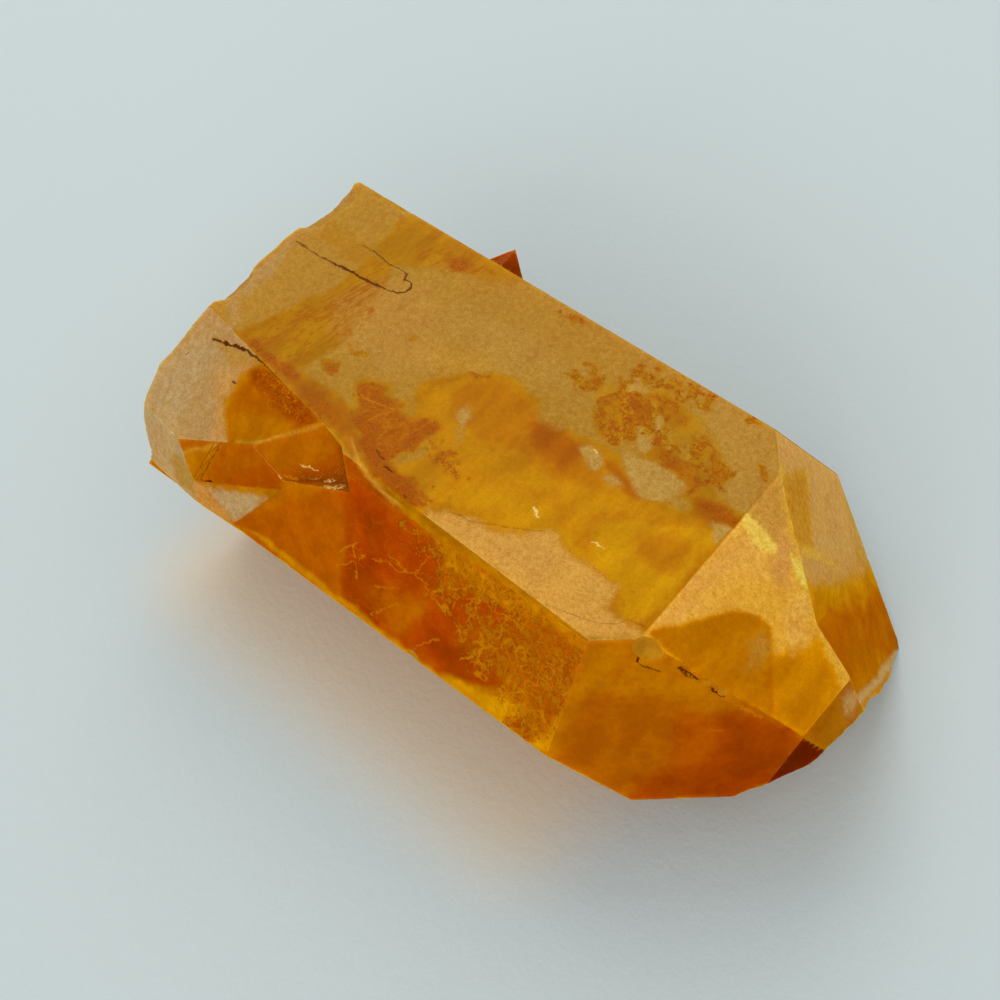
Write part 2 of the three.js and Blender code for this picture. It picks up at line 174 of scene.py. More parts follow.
# Soft zones of colour: tone, softness of the outline, strength, outline.
COLOUR_ZONES = {
    "top": [
        ("milk", 0.5, 0.4, [(228, 300), (236, 296), (262, 262), (300, 228), (318, 222), (330, 228),
            (300, 244), (272, 272), (256, 300), (250, 322), (236, 336), (228, 330)]),
        ("veil", 0.9, 0.9, [(300, 232), (352, 186), (400, 212), (440, 240), (400, 262), (372, 262),
            (345, 238), (325, 224)]),
        ("tan", 0.5, 1, [(236, 300), (258, 290), (300, 233), (322, 226), (350, 245), (385, 270),
            (350, 283), (325, 297), (290, 312), (250, 330), (236, 336)]),
        ("amber", 0.6, 0.2, [(326, 222), (345, 233), (362, 246), (385, 262), (372, 272), (350, 255),
            (335, 243), (324, 230)]),
        ("ochre", 0.6, 0.85, [(236, 335), (258, 327), (290, 312), (330, 293), (345, 283), (358, 270),
            (372, 260), (386, 268), (378, 290), (366, 312), (345, 335), (318, 352), (292, 368),
            (264, 350)]),
        ("burnt", 0.9, 0.9, [(252, 345), (275, 362), (300, 378), (328, 392), (345, 410), (352, 432),
            (352, 450), (338, 432), (318, 410), (290, 382), (262, 358)]),
        ("ochre", 0.9, 0.7, [(395, 232), (405, 222), (430, 226), (480, 252), (525, 280), (505, 282),
            (470, 272), (440, 268), (400, 262), (380, 250)]),
        ("burnt", 0.6, 0.7, [(445, 258), (462, 258), (478, 270), (468, 274), (450, 268)]),
        ("rosy", 1.2, 0.3, [(330, 300), (380, 280), (430, 290), (450, 330), (430, 370), (390, 372),
            (350, 350), (330, 330)]),
        ("haze", 1, 0.25, [(480, 310), (530, 330), (580, 360), (600, 380), (560, 385), (520, 365),
            (490, 340)]),
        ("straw", 1, 0.3, [(430, 350), (480, 350), (510, 370), (470, 375), (440, 372)]),
        ("tan", 1.8, 0.9, [(430, 270), (520, 285), (620, 340), (690, 380), (640, 385), (560, 370),
            (500, 350), (450, 330)]),
        ("grey", 1.3, 0.7, [(440, 300), (500, 320), (550, 350), (560, 385), (500, 370), (450, 340)]),
        # Partly painted light: the golden middle is the stone's honey colour, brightened in the lemon zones
        # by painted light refracted up through the lower faces.
        ("honey", 1.3, 1, [(420, 392), (450, 378), (500, 380), (530, 395), (545, 420), (600, 447),
            (632, 480), (665, 510), (700, 520), (738, 532), (650, 628), (612, 606), (606, 580),
            (570, 552), (545, 534), (505, 532), (470, 524), (430, 512), (404, 492), (392, 462),
            (402, 446), (425, 425)]),
        ("lemon", 2.2, 0.8, [(470, 470), (560, 500), (620, 560), (600, 590), (540, 545), (470, 520),
            (430, 500)]),
        ("lemon", 1.2, 0.6, [(560, 470), (600, 490), (640, 505), (700, 540), (700, 560), (640, 600),
            (620, 600), (600, 560), (560, 520)]),
        ("amber", 1.4, 0.8, [(455, 392), (500, 388), (525, 405), (545, 430), (585, 450), (600, 480),
            (560, 475), (520, 450), (480, 430), (455, 415)]),
        ("burnt", 0.9, 0.95, [(532, 422), (545, 424), (560, 430), (578, 448), (565, 466), (548, 460),
            (538, 445)]),
        # More painted light: a bright lemon zone of light refracted up through the lower faces.
        ("lemon", 0.9, 1, [(590, 520), (640, 520), (700, 530), (722, 530), (700, 565), (660, 612),
            (632, 625), (612, 600), (606, 575), (590, 560)]),
        ("amber", 0.8, 0.7, [(640, 540), (668, 536), (690, 548), (668, 570), (648, 562)]),
        # Painted reflection: the pale strip along the rounded edge with the front face is the room's light
        # seen in it.
        ("pale", 0.5, 1, [(404, 494), (430, 512), (470, 522), (505, 532), (548, 532), (560, 548),
            (592, 566), (614, 586), (604, 600), (618, 618), (644, 632), (588, 640), (540, 607),
            (500, 578), (460, 552), (425, 528), (412, 508)]),
        ("rosy", 0.8, 0.4, [(460, 530), (540, 540), (560, 560), (540, 580), (500, 560)]),
        ("tan", 1, 0.9, [(560, 395), (600, 380), (650, 378), (690, 382), (740, 405), (782, 436),
            (779, 468), (741, 517), (715, 505), (690, 490), (660, 470), (622, 452), (600, 440),
            (570, 425)]),
        ("grey", 0.8, 0.9, [(668, 395), (700, 392), (740, 405), (782, 436), (779, 468), (745, 512),
            (730, 490), (722, 460), (700, 430)]),
        ("honey", 0.6, 0.5, [(640, 440), (655, 436), (668, 455), (690, 478), (712, 492), (735, 516),
            (728, 528), (700, 505), (672, 480), (650, 460)]),
        ("honey", 0.5, 0.35, [(600, 385), (640, 384), (672, 395), (700, 420), (690, 430), (668, 425),
            (655, 440), (640, 436), (610, 440), (596, 420)]),
        ("haze", 0.12, 0.95, [(652, 402), (660, 410), (672, 435), (676, 452), (664, 448), (655, 430),
            (650, 415)]),
        ("haze", 0.14, 0.9, [(640, 425), (650, 428), (655, 445), (645, 455), (636, 445)]),
        ("haze", 0.5, 0.8, [(625, 380), (640, 378), (650, 392), (640, 396), (628, 392)]),
        ("haze", 0.15, 0.8, [(682, 444), (700, 442), (706, 458), (694, 466), (680, 458)]),
        ("tan", 0.6, 0.8, [(540, 405), (560, 412), (575, 425), (560, 430), (540, 418)]),
        ("fire", 0.5, 0.8, [(358, 386), (372, 381), (384, 388), (387, 398), (404, 406), (398, 420),
            (404, 416), (432, 420), (437, 428), (416, 441), (400, 447), (390, 458), (375, 452),
            (364, 437), (354, 420), (357, 405)]),
        ("ochre", 0.9, 0.3, [(655, 400), (672, 404), (684, 420), (700, 428), (716, 444), (726, 470),
            (714, 488), (692, 482), (676, 470), (660, 440), (668, 430)]),
        ("burnt", 0.4, 0.9, [(356, 438), (366, 440), (380, 446), (385, 462), (395, 470), (405, 478),
            (415, 490), (418, 510), (400, 500), (385, 485), (370, 468), (358, 448)]),
        ("burnt", 0.35, 0.85, [(606, 463), (618, 470), (632, 486), (640, 497), (628, 492), (614, 478)]),
        ("burnt", 0.4, 0.9, [(700, 498), (720, 504), (741, 517), (733, 528), (714, 522), (696, 514)]),
        ("haze", 0.22, 0.85, [(621, 453), (645, 459), (668, 468), (688, 490), (660, 500), (640, 496),
            (629, 478)]),
        ("haze", 0.25, 0.9, [(712, 522), (733, 528), (716, 545), (711, 538)]),
        ("haze", 0.25, 1, [(578, 448), (586, 444), (598, 452), (602, 466), (594, 470), (583, 460)]),
        ("haze", 0.3, 0.8, [(600, 478), (612, 476), (622, 486), (610, 488)]),
        ("haze", 0.4, 0.9, [(456, 412), (468, 405), (472, 416), (462, 426)]),
        ("grey", 0.5, 0.6, [(455, 425), (466, 420), (462, 440), (452, 446)]),
        ("tan", 0.4, 0.8, [(392, 455), (412, 452), (430, 440), (424, 456), (400, 464)]),
        # A painted highlight: a thin pale line along the rounded ridge with the front face.
        ("straw", 0.12, 0.85, [(346, 432), (352, 444), (360, 460), (371, 476), (386, 494), (404, 508),
            (402, 510), (384, 497), (368, 479), (356, 460)]),
    ],
    "ridge": [
        ("rust", 0.4, 1, [(335, 415), (345, 470), (365, 500), (385, 520), (398, 524), (392, 506),
            (376, 488), (366, 470), (356, 448), (348, 425)]),
        # A painted highlight: the same thin pale line along the rounded ridge.
        ("straw", 0.1, 0.8, [(346, 432), (352, 444), (360, 460), (371, 476), (386, 494), (404, 508),
            (402, 510), (384, 497), (368, 479), (356, 460)]),
        ("gold", 0.35, 0.9, [(402, 502), (430, 524), (476, 560), (520, 590), (590, 634), (590, 638),
            (516, 596), (470, 564), (426, 532), (400, 512)]),
    ],
    "front": [
        ("flame", 1.2, 0.9, [(236, 522), (285, 505), (340, 492), (348, 520), (345, 560), (330, 600),
            (300, 580), (250, 545)]),
        ("ember", 1.2, 0.9, [(338, 470), (362, 478), (402, 518), (430, 545), (440, 575), (410, 600),
            (390, 640), (350, 605), (345, 560), (352, 520)]),
        ("deep", 0.9, 0.8, [(345, 565), (370, 560), (382, 590), (372, 622), (348, 600)]),
        ("deep", 0.9, 0.7, [(362, 500), (385, 520), (382, 550), (370, 560), (362, 530)]),
        ("fire", 1.4, 0.7, [(372, 590), (410, 592), (425, 612), (420, 640), (395, 640)]),
        ("ember", 1.2, 0.9, [(430, 590), (480, 590), (520, 620), (500, 660), (500, 700), (465, 680),
            (400, 645), (425, 615)]),
        ("deep", 0.8, 0.7, [(430, 640), (470, 640), (480, 690), (450, 680)]),
        ("gold", 0.3, 0.9, [(430, 535), (470, 562), (520, 597), (588, 641), (580, 650), (530, 622),
            (480, 590), (445, 565)]),
        ("fire", 1.2, 0.7, [(455, 640), (480, 620), (530, 618), (560, 640), (582, 650), (575, 690),
            (550, 730), (520, 735), (510, 690)]),
        ("gold", 0.5, 1, [(583, 641), (596, 650), (552, 752), (530, 745), (545, 735), (570, 690),
            (586, 655)]),
        ("lemon", 0.5, 0.95, [(440, 672), (480, 688), (512, 700), (530, 712), (552, 752), (520, 742),
            (490, 720), (450, 692)]),
        ("deep", 0.6, 0.8, [(505, 722), (525, 718), (535, 735), (520, 742)]),
        ("gold", 0.3, 0.9, [(236, 524), (270, 548), (340, 604), (400, 652), (450, 692), (540, 758),
            (536, 748), (450, 682), (400, 644), (340, 596), (270, 540)]),
    ],
    "point_front": [
        ("amber", 0.8, 0.8, [(588, 641), (640, 640), (620, 670), (570, 760), (546, 757)]),
        ("burnt", 1.2, 0.8, [(588, 700), (700, 700), (780, 710), (800, 745), (760, 790), (620, 800),
            (560, 765)]),
        ("rust", 1.4, 0.75, [(680, 715), (760, 720), (800, 740), (790, 775), (740, 795), (630, 798),
            (680, 770)]),
        ("deep", 1.2, 0.7, [(640, 775), (700, 765), (760, 770), (740, 796), (632, 799)]),
        ("deep", 1.4, 0.75, [(735, 712), (790, 733), (802, 748), (775, 785), (700, 794), (715, 750)]),
        ("amber", 0.8, 0.6, [(640, 640), (700, 680), (760, 715), (700, 712), (650, 690), (620, 670)]),
    ],
    "point_top": [
        ("pale", 0.9, 0.9, [(779, 470), (741, 517), (700, 565), (660, 615), (650, 632), (690, 622),
            (740, 600), (770, 580), (780, 520)]),
        ("grey", 0.5, 0.8, [(779, 470), (741, 517), (760, 540), (778, 545), (785, 520)]),
        ("rosy", 0.6, 0.8, [(782, 520), (792, 545), (792, 600), (775, 590), (770, 545)]),
        ("straw", 1, 0.9, [(700, 600), (740, 570), (775, 590), (792, 600), (812, 610), (800, 650),
            (780, 700), (770, 640), (740, 612)]),
        ("amber", 0.14, 1, [(650, 632), (680, 627), (715, 616), (740, 611), (757, 616), (771, 628),
            (772, 645), (773, 670), (773, 720), (740, 700), (690, 670), (660, 645)]),
        ("tan", 0.6, 0.6, [(743, 640), (765, 636), (771, 645), (770, 664), (745, 664)]),
        ("amber", 1, 0.85, [(773, 665), (800, 655), (815, 640), (835, 690), (806, 737), (775, 720)]),
        # Painted highlights: glints of light off small inner fractures in the point.
        ("painted_glint", 0.07, 1, [(740, 517), (747, 513), (757, 522), (768, 534), (776, 546), (775, 553),
            (764, 549), (754, 539), (745, 529)]),
        ("painted_glint", 0.12, 0.5, [(752, 538), (758, 541), (768, 552), (766, 556), (758, 549)]),
        ("painted_glint", 0.12, 0.5, [(746, 532), (750, 532), (760, 545), (758, 547), (750, 540)]),
        ("painted_glint", 0.07, 1, [(790, 554), (800, 562), (808, 572), (812, 588), (806, 590), (798, 578),
            (792, 566)]),
        ("pale", 0.4, 0.8, [(782, 610), (812, 590), (805, 630), (793, 658), (787, 640)]),
    ],
    "point_back": [
        # Painted reflection: the pale rosy upper part of this face is the white paper seen in it.
        ("rosy", 0.9, 0.95, [(779, 470), (776, 430), (838, 475), (862, 540), (876, 585), (840, 612),
            (815, 602), (800, 560)]),
        ("tan", 0.5, 0.6, [(846, 500), (852, 498), (868, 560), (872, 580), (858, 560)]),
        ("fire", 0.3, 0.3, [(782, 476), (806, 474), (810, 510), (812, 545), (800, 548), (790, 525)]),
        # A painted highlight: a thin yellow glint.
        ("straw", 0.2, 0.9, [(801, 544), (815, 551), (838, 565), (836, 569), (812, 557), (800, 550)]),
        # Painted shade: the lower part, near the paper, is darkened through fire to burnt, for the shadowed
        # paper seen in it.
        ("fire", 2.4, 0.7, [(795, 600), (830, 590), (884, 572), (900, 610), (892, 640), (806, 650)]),
        ("burnt", 2, 1, [(808, 648), (850, 618), (884, 600), (905, 630), (898, 660), (860, 705),
            (826, 700)]),
        ("burnt", 1.6, 1, [(866, 616), (888, 606), (902, 636), (892, 660), (868, 640)]),
        ("frost", 0.15, 0.9, [(897, 648), (896, 664), (864, 702), (850, 716), (845, 712), (868, 686),
            (888, 662)]),
    ],
    "side_top": [
        ("milk", 1, 0.6, [(140, 400), (160, 360), (200, 340), (222, 345), (190, 400), (170, 437)]),
        ("tan", 0.6, 0.8, [(215, 335), (258, 358), (270, 375), (245, 372), (230, 360), (222, 345)]),
        ("rosy", 0.6, 0.7, [(216, 372), (244, 362), (262, 372), (232, 400), (230, 441), (210, 441)]),
        ("fire", 1.1, 1, [(229, 398), (238, 384), (262, 366), (300, 395), (325, 423), (280, 435),
            (250, 441), (229, 440)]),
        ("amber", 0.8, 0.8, [(230, 408), (256, 404), (280, 418), (300, 428), (270, 438), (231, 440)]),
        ("deep", 0.35, 0.75, [(249, 372), (270, 375), (300, 398), (322, 422), (300, 424), (284, 416),
            (275, 398), (262, 388), (250, 380)]),
    ],
    "side_front": [
        ("amber", 0.5, 0.8, [(175, 452), (222, 442), (212, 462), (200, 482), (190, 480)]),
        ("burnt", 0.9, 0.9, [(214, 480), (225, 455), (250, 448), (270, 468), (288, 492), (276, 504),
            (240, 500)]),
        ("rust", 1, 0.85, [(230, 484), (262, 470), (288, 488), (280, 504), (240, 502)]),
        ("straw", 0.2, 0.5, [(176, 453), (222, 442), (222, 445), (178, 457)]),
    ],
    "side_tip": [
        ("fire", 0.6, 0.9, [(250, 441), (322, 424), (338, 440), (330, 465), (284, 476)]),
        ("straw", 0.15, 0.6, [(250, 440), (290, 431), (324, 423), (326, 426), (290, 434), (254, 443)]),
        ("rust", 0.5, 0.9, [(284, 478), (330, 462), (345, 478), (310, 494), (288, 492)]),
        ("deep", 0.35, 0.9, [(340, 440), (350, 442), (352, 466), (344, 472), (336, 455)]),
    ],
    "nick": [
        ("fire", 0.4, 1, [(292, 494), (344, 534), (356, 486), (303, 446)]),
    ],
    "side_edge": [
        ("milk", 0.25, 0.85, [(206, 489), (268, 498), (250, 512), (235, 521)]),
        ("rosy", 0.5, 0.7, [(150, 470), (180, 470), (206, 492), (236, 522), (222, 520), (180, 495)]),
    ],
    "side_base": [
        ("rosy", 0.6, 0.4, [(150, 420), (176, 440), (182, 470), (200, 490), (180, 492), (155, 468),
            (147, 440)]),
        ("tan", 0.4, 0.8, [(172, 452), (182, 456), (206, 492), (200, 500), (176, 480)]),
    ],
    "chip_upper": [
        ("olive", 0.6, 1, [(804, 736), (845, 700), (861, 690), (846, 737), (831, 755)]),
        ("frost", 0.4, 0.8, [(846, 700), (866, 684), (858, 706), (846, 722)]),
    ],
    "chip_front": [
        ("dark", 0.5, 1, [(804, 736), (831, 755), (808, 768), (775, 780), (779, 762)]),
    ],
}
# The hollow faces take the same zones, with the same painted reflection and shade.
COLOUR_ZONES["hollow_upper"] = COLOUR_ZONES["hollow_lower"] = COLOUR_ZONES["point_back"]

# Patches of iron stain: how far the grain frays the outline, how full the stain is, and the outline.
RUST_PATCHES = {
    "top": [
        (0.5, 0.35, [(358, 386), (372, 381), (384, 388), (387, 398), (404, 406), (398, 420), (404, 416),
            (412, 430), (412, 446), (400, 447), (390, 458), (375, 452), (364, 437), (354, 420),
            (357, 405)]),
        (0.35, 1, [(404, 434), (414, 424), (430, 419), (438, 427), (426, 437), (410, 446), (398, 450),
            (394, 444)]),
        (0.3, 0.8, [(360, 386), (372, 383), (384, 390), (384, 398), (372, 400), (360, 398)]),
        (0.5, 0.5, [(360, 440), (372, 432), (384, 434), (396, 440), (388, 452), (375, 452)]),
        (0.45, 0.9, [(362, 442), (380, 446), (382, 456), (397, 466), (410, 482), (418, 500), (419, 510),
            (404, 502), (388, 488), (374, 470)]),
        (0.7, -0.05, [(396, 466), (408, 472), (424, 490), (430, 500), (420, 512), (412, 486)]),
        (0.35, 0.75, [(622, 394), (636, 393), (646, 400), (654, 410), (654, 424), (646, 430), (636, 416),
            (626, 404)]),
        (0.3, 0.5, [(608, 394), (618, 392), (624, 398), (618, 403), (610, 400)]),
        (0.3, 0.5, [(598, 402), (605, 401), (606, 409), (599, 409)]),
        (0.5, 0.05, [(596, 404), (606, 398), (618, 404), (632, 410), (642, 422), (630, 426), (634, 438),
            (620, 432), (616, 446), (605, 437), (600, 424)]),
        (0.6, -0.05, [(654, 398), (666, 402), (684, 414), (680, 422), (664, 416), (656, 408)]),
        (0.6, 0, [(653, 440), (660, 426), (669, 442), (678, 450), (682, 462), (691, 467), (699, 460),
            (694, 446), (701, 438), (713, 452), (726, 470), (717, 485), (704, 478), (695, 491),
            (680, 481), (667, 466)]),
        (0.35, 0.25, [(706, 505), (722, 509), (738, 517), (732, 525), (716, 517)]),
        (0.8, -0.25, [(676, 384), (700, 382), (712, 392), (704, 404), (684, 398)]),
        (0.4, 0.1, [(588, 362), (598, 362), (604, 372), (600, 384), (592, 376)]),
        (0.35, 0.3, [(620, 376), (632, 370), (644, 364), (646, 370), (632, 378), (622, 382)]),
        (0.5, -0.1, [(566, 374), (580, 376), (590, 388), (572, 386)]),
        (0.5, -0.15, [(640, 366), (660, 368), (664, 384), (650, 390), (640, 380)]),
        (0.4, -0.1, [(562, 312), (575, 315), (590, 322), (570, 322)]),
        (0.5, 0.1, [(448, 262), (460, 262), (472, 268), (460, 272), (450, 268)]),
        (0.4, 0, [(322, 362), (336, 358), (338, 366), (330, 374), (322, 370)]),
        (0.4, 0, [(352, 346), (362, 348), (368, 354), (356, 354)]),
        (0.4, -0.1, [(408, 342), (416, 338), (422, 342), (412, 348)]),
        (0.4, -0.1, [(470, 372), (482, 376), (490, 380), (474, 382)]),
        (0.35, 0, [(752, 418), (760, 424), (756, 430), (748, 424)]),
        (0.35, 0.3, [(778, 438), (784, 442), (782, 456), (777, 450)]),
        (0.35, 0.1, [(756, 460), (762, 466), (766, 484), (759, 478)]),
        (0.5, 0.2, [(252, 346), (262, 350), (280, 364), (296, 378), (288, 378), (268, 366)]),
        (0.6, 0, [(310, 400), (326, 402), (330, 416), (314, 414)]),
        (0.5, -0.2, [(430, 440), (450, 452), (470, 480), (452, 480), (434, 460)]),
    ],
    "front": [
        (0.9, 0.1, [(424, 540), (440, 548), (470, 562), (520, 600), (580, 648), (576, 700), (548, 735),
            (520, 735), (505, 720), (500, 690), (470, 655), (450, 620), (440, 590)]),
        (0.4, 0.8, [(545, 655), (560, 650), (577, 655), (574, 690), (560, 705), (548, 690)]),
        (0.4, 0.7, [(470, 640), (492, 652), (500, 684), (480, 678)]),
        (0.4, 0.7, [(506, 724), (520, 716), (535, 730), (524, 742)]),
        (0.4, 0.6, [(430, 550), (450, 566), (470, 584), (452, 600), (436, 580)]),
        (0.5, -0.15, [(400, 520), (424, 540), (440, 560), (420, 560), (404, 540)]),
    ],
    "side_top": [
        (0.5, 0.6, [(252, 376), (272, 378), (302, 398), (320, 420), (300, 422), (286, 412), (276, 400),
            (262, 390)]),
    ],
    "side_tip": [
        (0.5, 0.3, [(286, 482), (310, 474), (345, 470), (345, 482), (320, 494), (290, 492)]),
    ],
    "nick": [
        (0.3, 0.3, [(292, 494), (344, 534), (356, 486), (303, 446)]),
    ],
}

# Cracks and other dark lines: width, strength, course.
DARK_LINES = {
    "top": [
        (0.2, 0.75, [(296, 241), (321, 257), (335, 264)]),
        (0.3, 0.95, [(335, 264), (350, 271), (364, 279)]),
        (0.24, 0.9, [(364, 279), (385, 289), (397, 293), (405, 292), (411, 288), (411, 283), (404, 279),
            (408, 274)]),
        (0.16, 0.7, [(408, 274), (401, 270), (388, 263), (376, 253), (363, 245)]),
        (0.2, 0.8, [(212, 339), (221, 342), (241, 347), (252, 353), (262, 362)]),
        (0.12, 0.35, [(469, 521), (498, 525), (516, 529), (545, 531)]),
        (0.12, 0.35, [(534, 603), (551, 606), (584, 619), (599, 623), (616, 624), (629, 620), (640, 624),
            (648, 630)]),
        (0.12, 0.4, [(450, 512), (462, 516), (470, 522)]),
        (0.22, 0.9, [(385, 466), (390, 470), (394, 473)]),
        (0.14, 0.7, [(376, 450), (380, 456), (384, 459)]),
        (0.16, 0.7, [(356, 464), (360, 468), (362, 472)]),
        (0.18, 0.8, [(403, 496), (408, 498)]),
    ],
    "point_front": [
        (0.16, 0.95, [(650, 640), (642, 650), (637, 662)]),
        (0.14, 0.7, [(640, 664), (648, 668), (660, 672)]),
        (0.15, 0.9, [(678, 667), (690, 673), (698, 680)]),
        (0.1, 0.8, [(682, 673), (692, 679)]),
        (0.17, 0.95, [(711, 688), (716, 693), (723, 697)]),
    ],
    "point_top": [
        (0.18, 0.8, [(712, 686), (718, 690), (724, 695)]),
    ],
    "side_front": [
        (0.14, 0.6, [(222, 441), (210, 462), (199, 482)]),
        (0.1, 0.5, [(214, 443), (203, 462), (194, 478)]),
        (0.5, 0.95, [(204, 484), (209, 482), (212, 482)]),
    ],
    "side_top": [
        (0.25, 0.8, [(232, 381), (236, 383)]),
        (0.16, 0.9, [(212, 339), (218, 341), (226, 344)]),
        (0.32, 0.95, [(224, 343), (236, 346), (248, 351)]),
        (0.2, 0.9, [(246, 350), (256, 357), (266, 366)]),
        (0.14, 0.7, [(262, 362), (275, 374), (290, 388)]),
        (0.12, 0.6, [(186, 354), (189, 352)]),
        (0.12, 0.6, [(198, 362), (200, 364)]),
    ],
    "side_tip": [
        (0.2, 0.7, [(300, 485), (310, 487)]),
        (0.22, 0.8, [(320, 492), (340, 484)]),
    ],
}

# Bright hairs, healed cracks, and painted highlights (glints off small inner mirrors and light along edges):
# width, strength, course.
BRIGHT_LINES = {
    "top": [
        (0.14, 0.8, [(360, 395), (372, 402), (384, 406), (400, 410), (412, 409)]),
        (0.12, 0.8, [(368, 421), (378, 415), (390, 413)]),
        (0.12, 0.7, [(376, 441), (386, 431), (391, 418)]),
        (0.12, 0.7, [(381, 425), (392, 429), (402, 424)]),
        (0.12, 0.6, [(362, 412), (372, 410), (380, 418), (388, 420)]),
        (0.1, 0.5, [(364, 440), (376, 446), (384, 452)]),
        (0.12, 0.6, [(404, 436), (420, 428), (434, 420)]),
        # The strongest lines here are painted highlights: glints off small inner mirrors.
        (0.16, 0.95, [(533, 507), (536, 512), (539, 518)]),
        (0.16, 0.95, [(590, 541), (597, 544), (605, 548)]),
        (0.2, 0.8, [(608, 549), (615, 550)]),
        (0.2, 0.7, [(497, 413), (502, 415)]),
        (0.2, 1, [(593, 449), (598, 453)]),
        (0.15, 0.6, [(603, 536), (610, 541)]),
        (0.1, 0.7, [(528, 492), (532, 496), (535, 500)]),
        (0.12, 0.8, [(586, 538), (592, 541)]),
        (0.1, 0.7, [(560, 560), (566, 562)]),
        (0.12, 0.5, [(670, 494), (684, 490), (690, 489)]),
        # A painted highlight along the ridge of the top and front faces.
        (0.14, 0.5, [(345, 436), (352, 450), (362, 468), (376, 486), (392, 500)]),
        (0.2, 0.8, [(655, 607), (662, 611)]),
    ],
    "front": [
        (0.16, 0.8, [(340, 552), (350, 545), (358, 542)]),
        (0.14, 0.8, [(352, 545), (356, 560), (357, 580)]),
        (0.14, 0.7, [(335, 566), (350, 562), (365, 556)]),
        (0.14, 0.7, [(372, 560), (385, 562), (400, 572), (415, 574), (428, 586)]),
        (0.14, 0.8, [(415, 572), (424, 562), (432, 555)]),
        (0.15, 0.8, [(388, 555), (398, 562), (406, 570)]),
        (0.14, 0.6, [(375, 586), (388, 588), (400, 589)]),
        (0.14, 0.6, [(370, 614), (385, 608), (398, 604)]),
        (0.14, 0.8, [(425, 588), (432, 596), (440, 606), (448, 618)]),
        (0.14, 0.7, [(424, 596), (432, 592), (442, 590)]),
        (0.14, 0.7, [(466, 622), (474, 610), (482, 598)]),
        (0.12, 0.7, [(470, 618), (478, 606), (484, 590)]),
        (0.14, 0.8, [(448, 588), (462, 590), (476, 586)]),
        (0.2, 0.8, [(460, 660), (468, 658), (474, 656)]),
        (0.14, 0.8, [(498, 630), (510, 610), (520, 600)]),
        (0.14, 0.8, [(505, 622), (520, 618), (534, 606)]),
        (0.14, 0.7, [(520, 630), (530, 618), (540, 612)]),
        (0.14, 0.7, [(495, 612), (508, 616), (520, 626)]),
        (0.13, 0.7, [(552, 690), (554, 670), (556, 650)]),
        (0.13, 0.6, [(560, 690), (562, 672), (563, 655)]),
        (0.14, 0.7, [(500, 690), (512, 676), (522, 660), (528, 650)]),
        (0.13, 0.7, [(515, 695), (525, 690), (532, 696)]),
        (0.13, 0.7, [(540, 700), (545, 688), (548, 676)]),
        (0.13, 0.7, [(480, 650), (490, 646), (498, 650)]),
        (0.13, 0.6, [(410, 650), (425, 642), (440, 640)]),
        (0.13, 0.6, [(520, 720), (524, 705), (530, 700)]),
    ],
    "point_front": [
        (0.14, 0.6, [(609, 652), (625, 653), (635, 652)]),
        (0.2, 0.6, [(724, 698), (738, 706), (752, 712), (760, 718)]),
        (0.12, 0.4, [(708, 730), (716, 731), (724, 730)]),
    ],
    "side_top": [
        (0.12, 0.8, [(264, 390), (270, 400), (277, 404)]),
        (0.1, 0.7, [(268, 384), (280, 390), (290, 398)]),
        (0.1, 0.7, [(276, 380), (288, 388), (298, 396)]),
        (0.1, 0.7, [(282, 410), (288, 404), (296, 402)]),
        (0.1, 0.7, [(290, 414), (288, 408), (292, 404)]),
        (0.14, 0.6, [(250, 362), (262, 360), (270, 364)]),
    ],
    "side_tip": [
        # Painted highlights: light along the small crystal's edges and glints along the crack below it.
        (0.18, 0.9, [(300, 465), (308, 467), (318, 470)]),
        (0.14, 0.8, [(283, 476), (292, 478), (298, 481)]),
        (0.2, 1, [(308, 494), (322, 486), (334, 481)]),
        (0.14, 0.9, [(316, 488), (330, 480)]),
        (0.2, 0.8, [(288, 490), (296, 494), (304, 488)]),
    ],
    "nick": [
        (0.16, 1, [(315, 485), (323, 488), (335, 494)]),
        (0.1, 0.95, [(319, 483), (327, 487), (334, 490)]),
        (0.1, 0.95, [(321, 490), (329, 494), (334, 496)]),
    ],
    "side_front": [
        # A painted highlight along the edge between the small crystal's faces.
        (0.16, 0.9, [(252, 440), (262, 452), (274, 468), (284, 480)]),
        (0.14, 0.6, [(284, 482), (286, 492), (280, 502)]),
    ],
    "side_pale": [
        # A painted highlight along the small crystal's lower edge.
        (0.16, 0.95, [(232, 521), (240, 521), (248, 517)]),
    ],
}

# Where the stain has dried into a net of long fine cracks: the outline.
FIBRES = {
    "top": [
        [(236, 335), (258, 327), (290, 312), (330, 293), (345, 283), (358, 270), (372, 260), (396, 262),
            (388, 290), (376, 312), (355, 335), (328, 352), (302, 368), (264, 352)],
        [(405, 255), (430, 232), (480, 256), (500, 275), (450, 275)],
    ],
}


# ---- Sizes and colours a user may change -----------------------------------------------------------


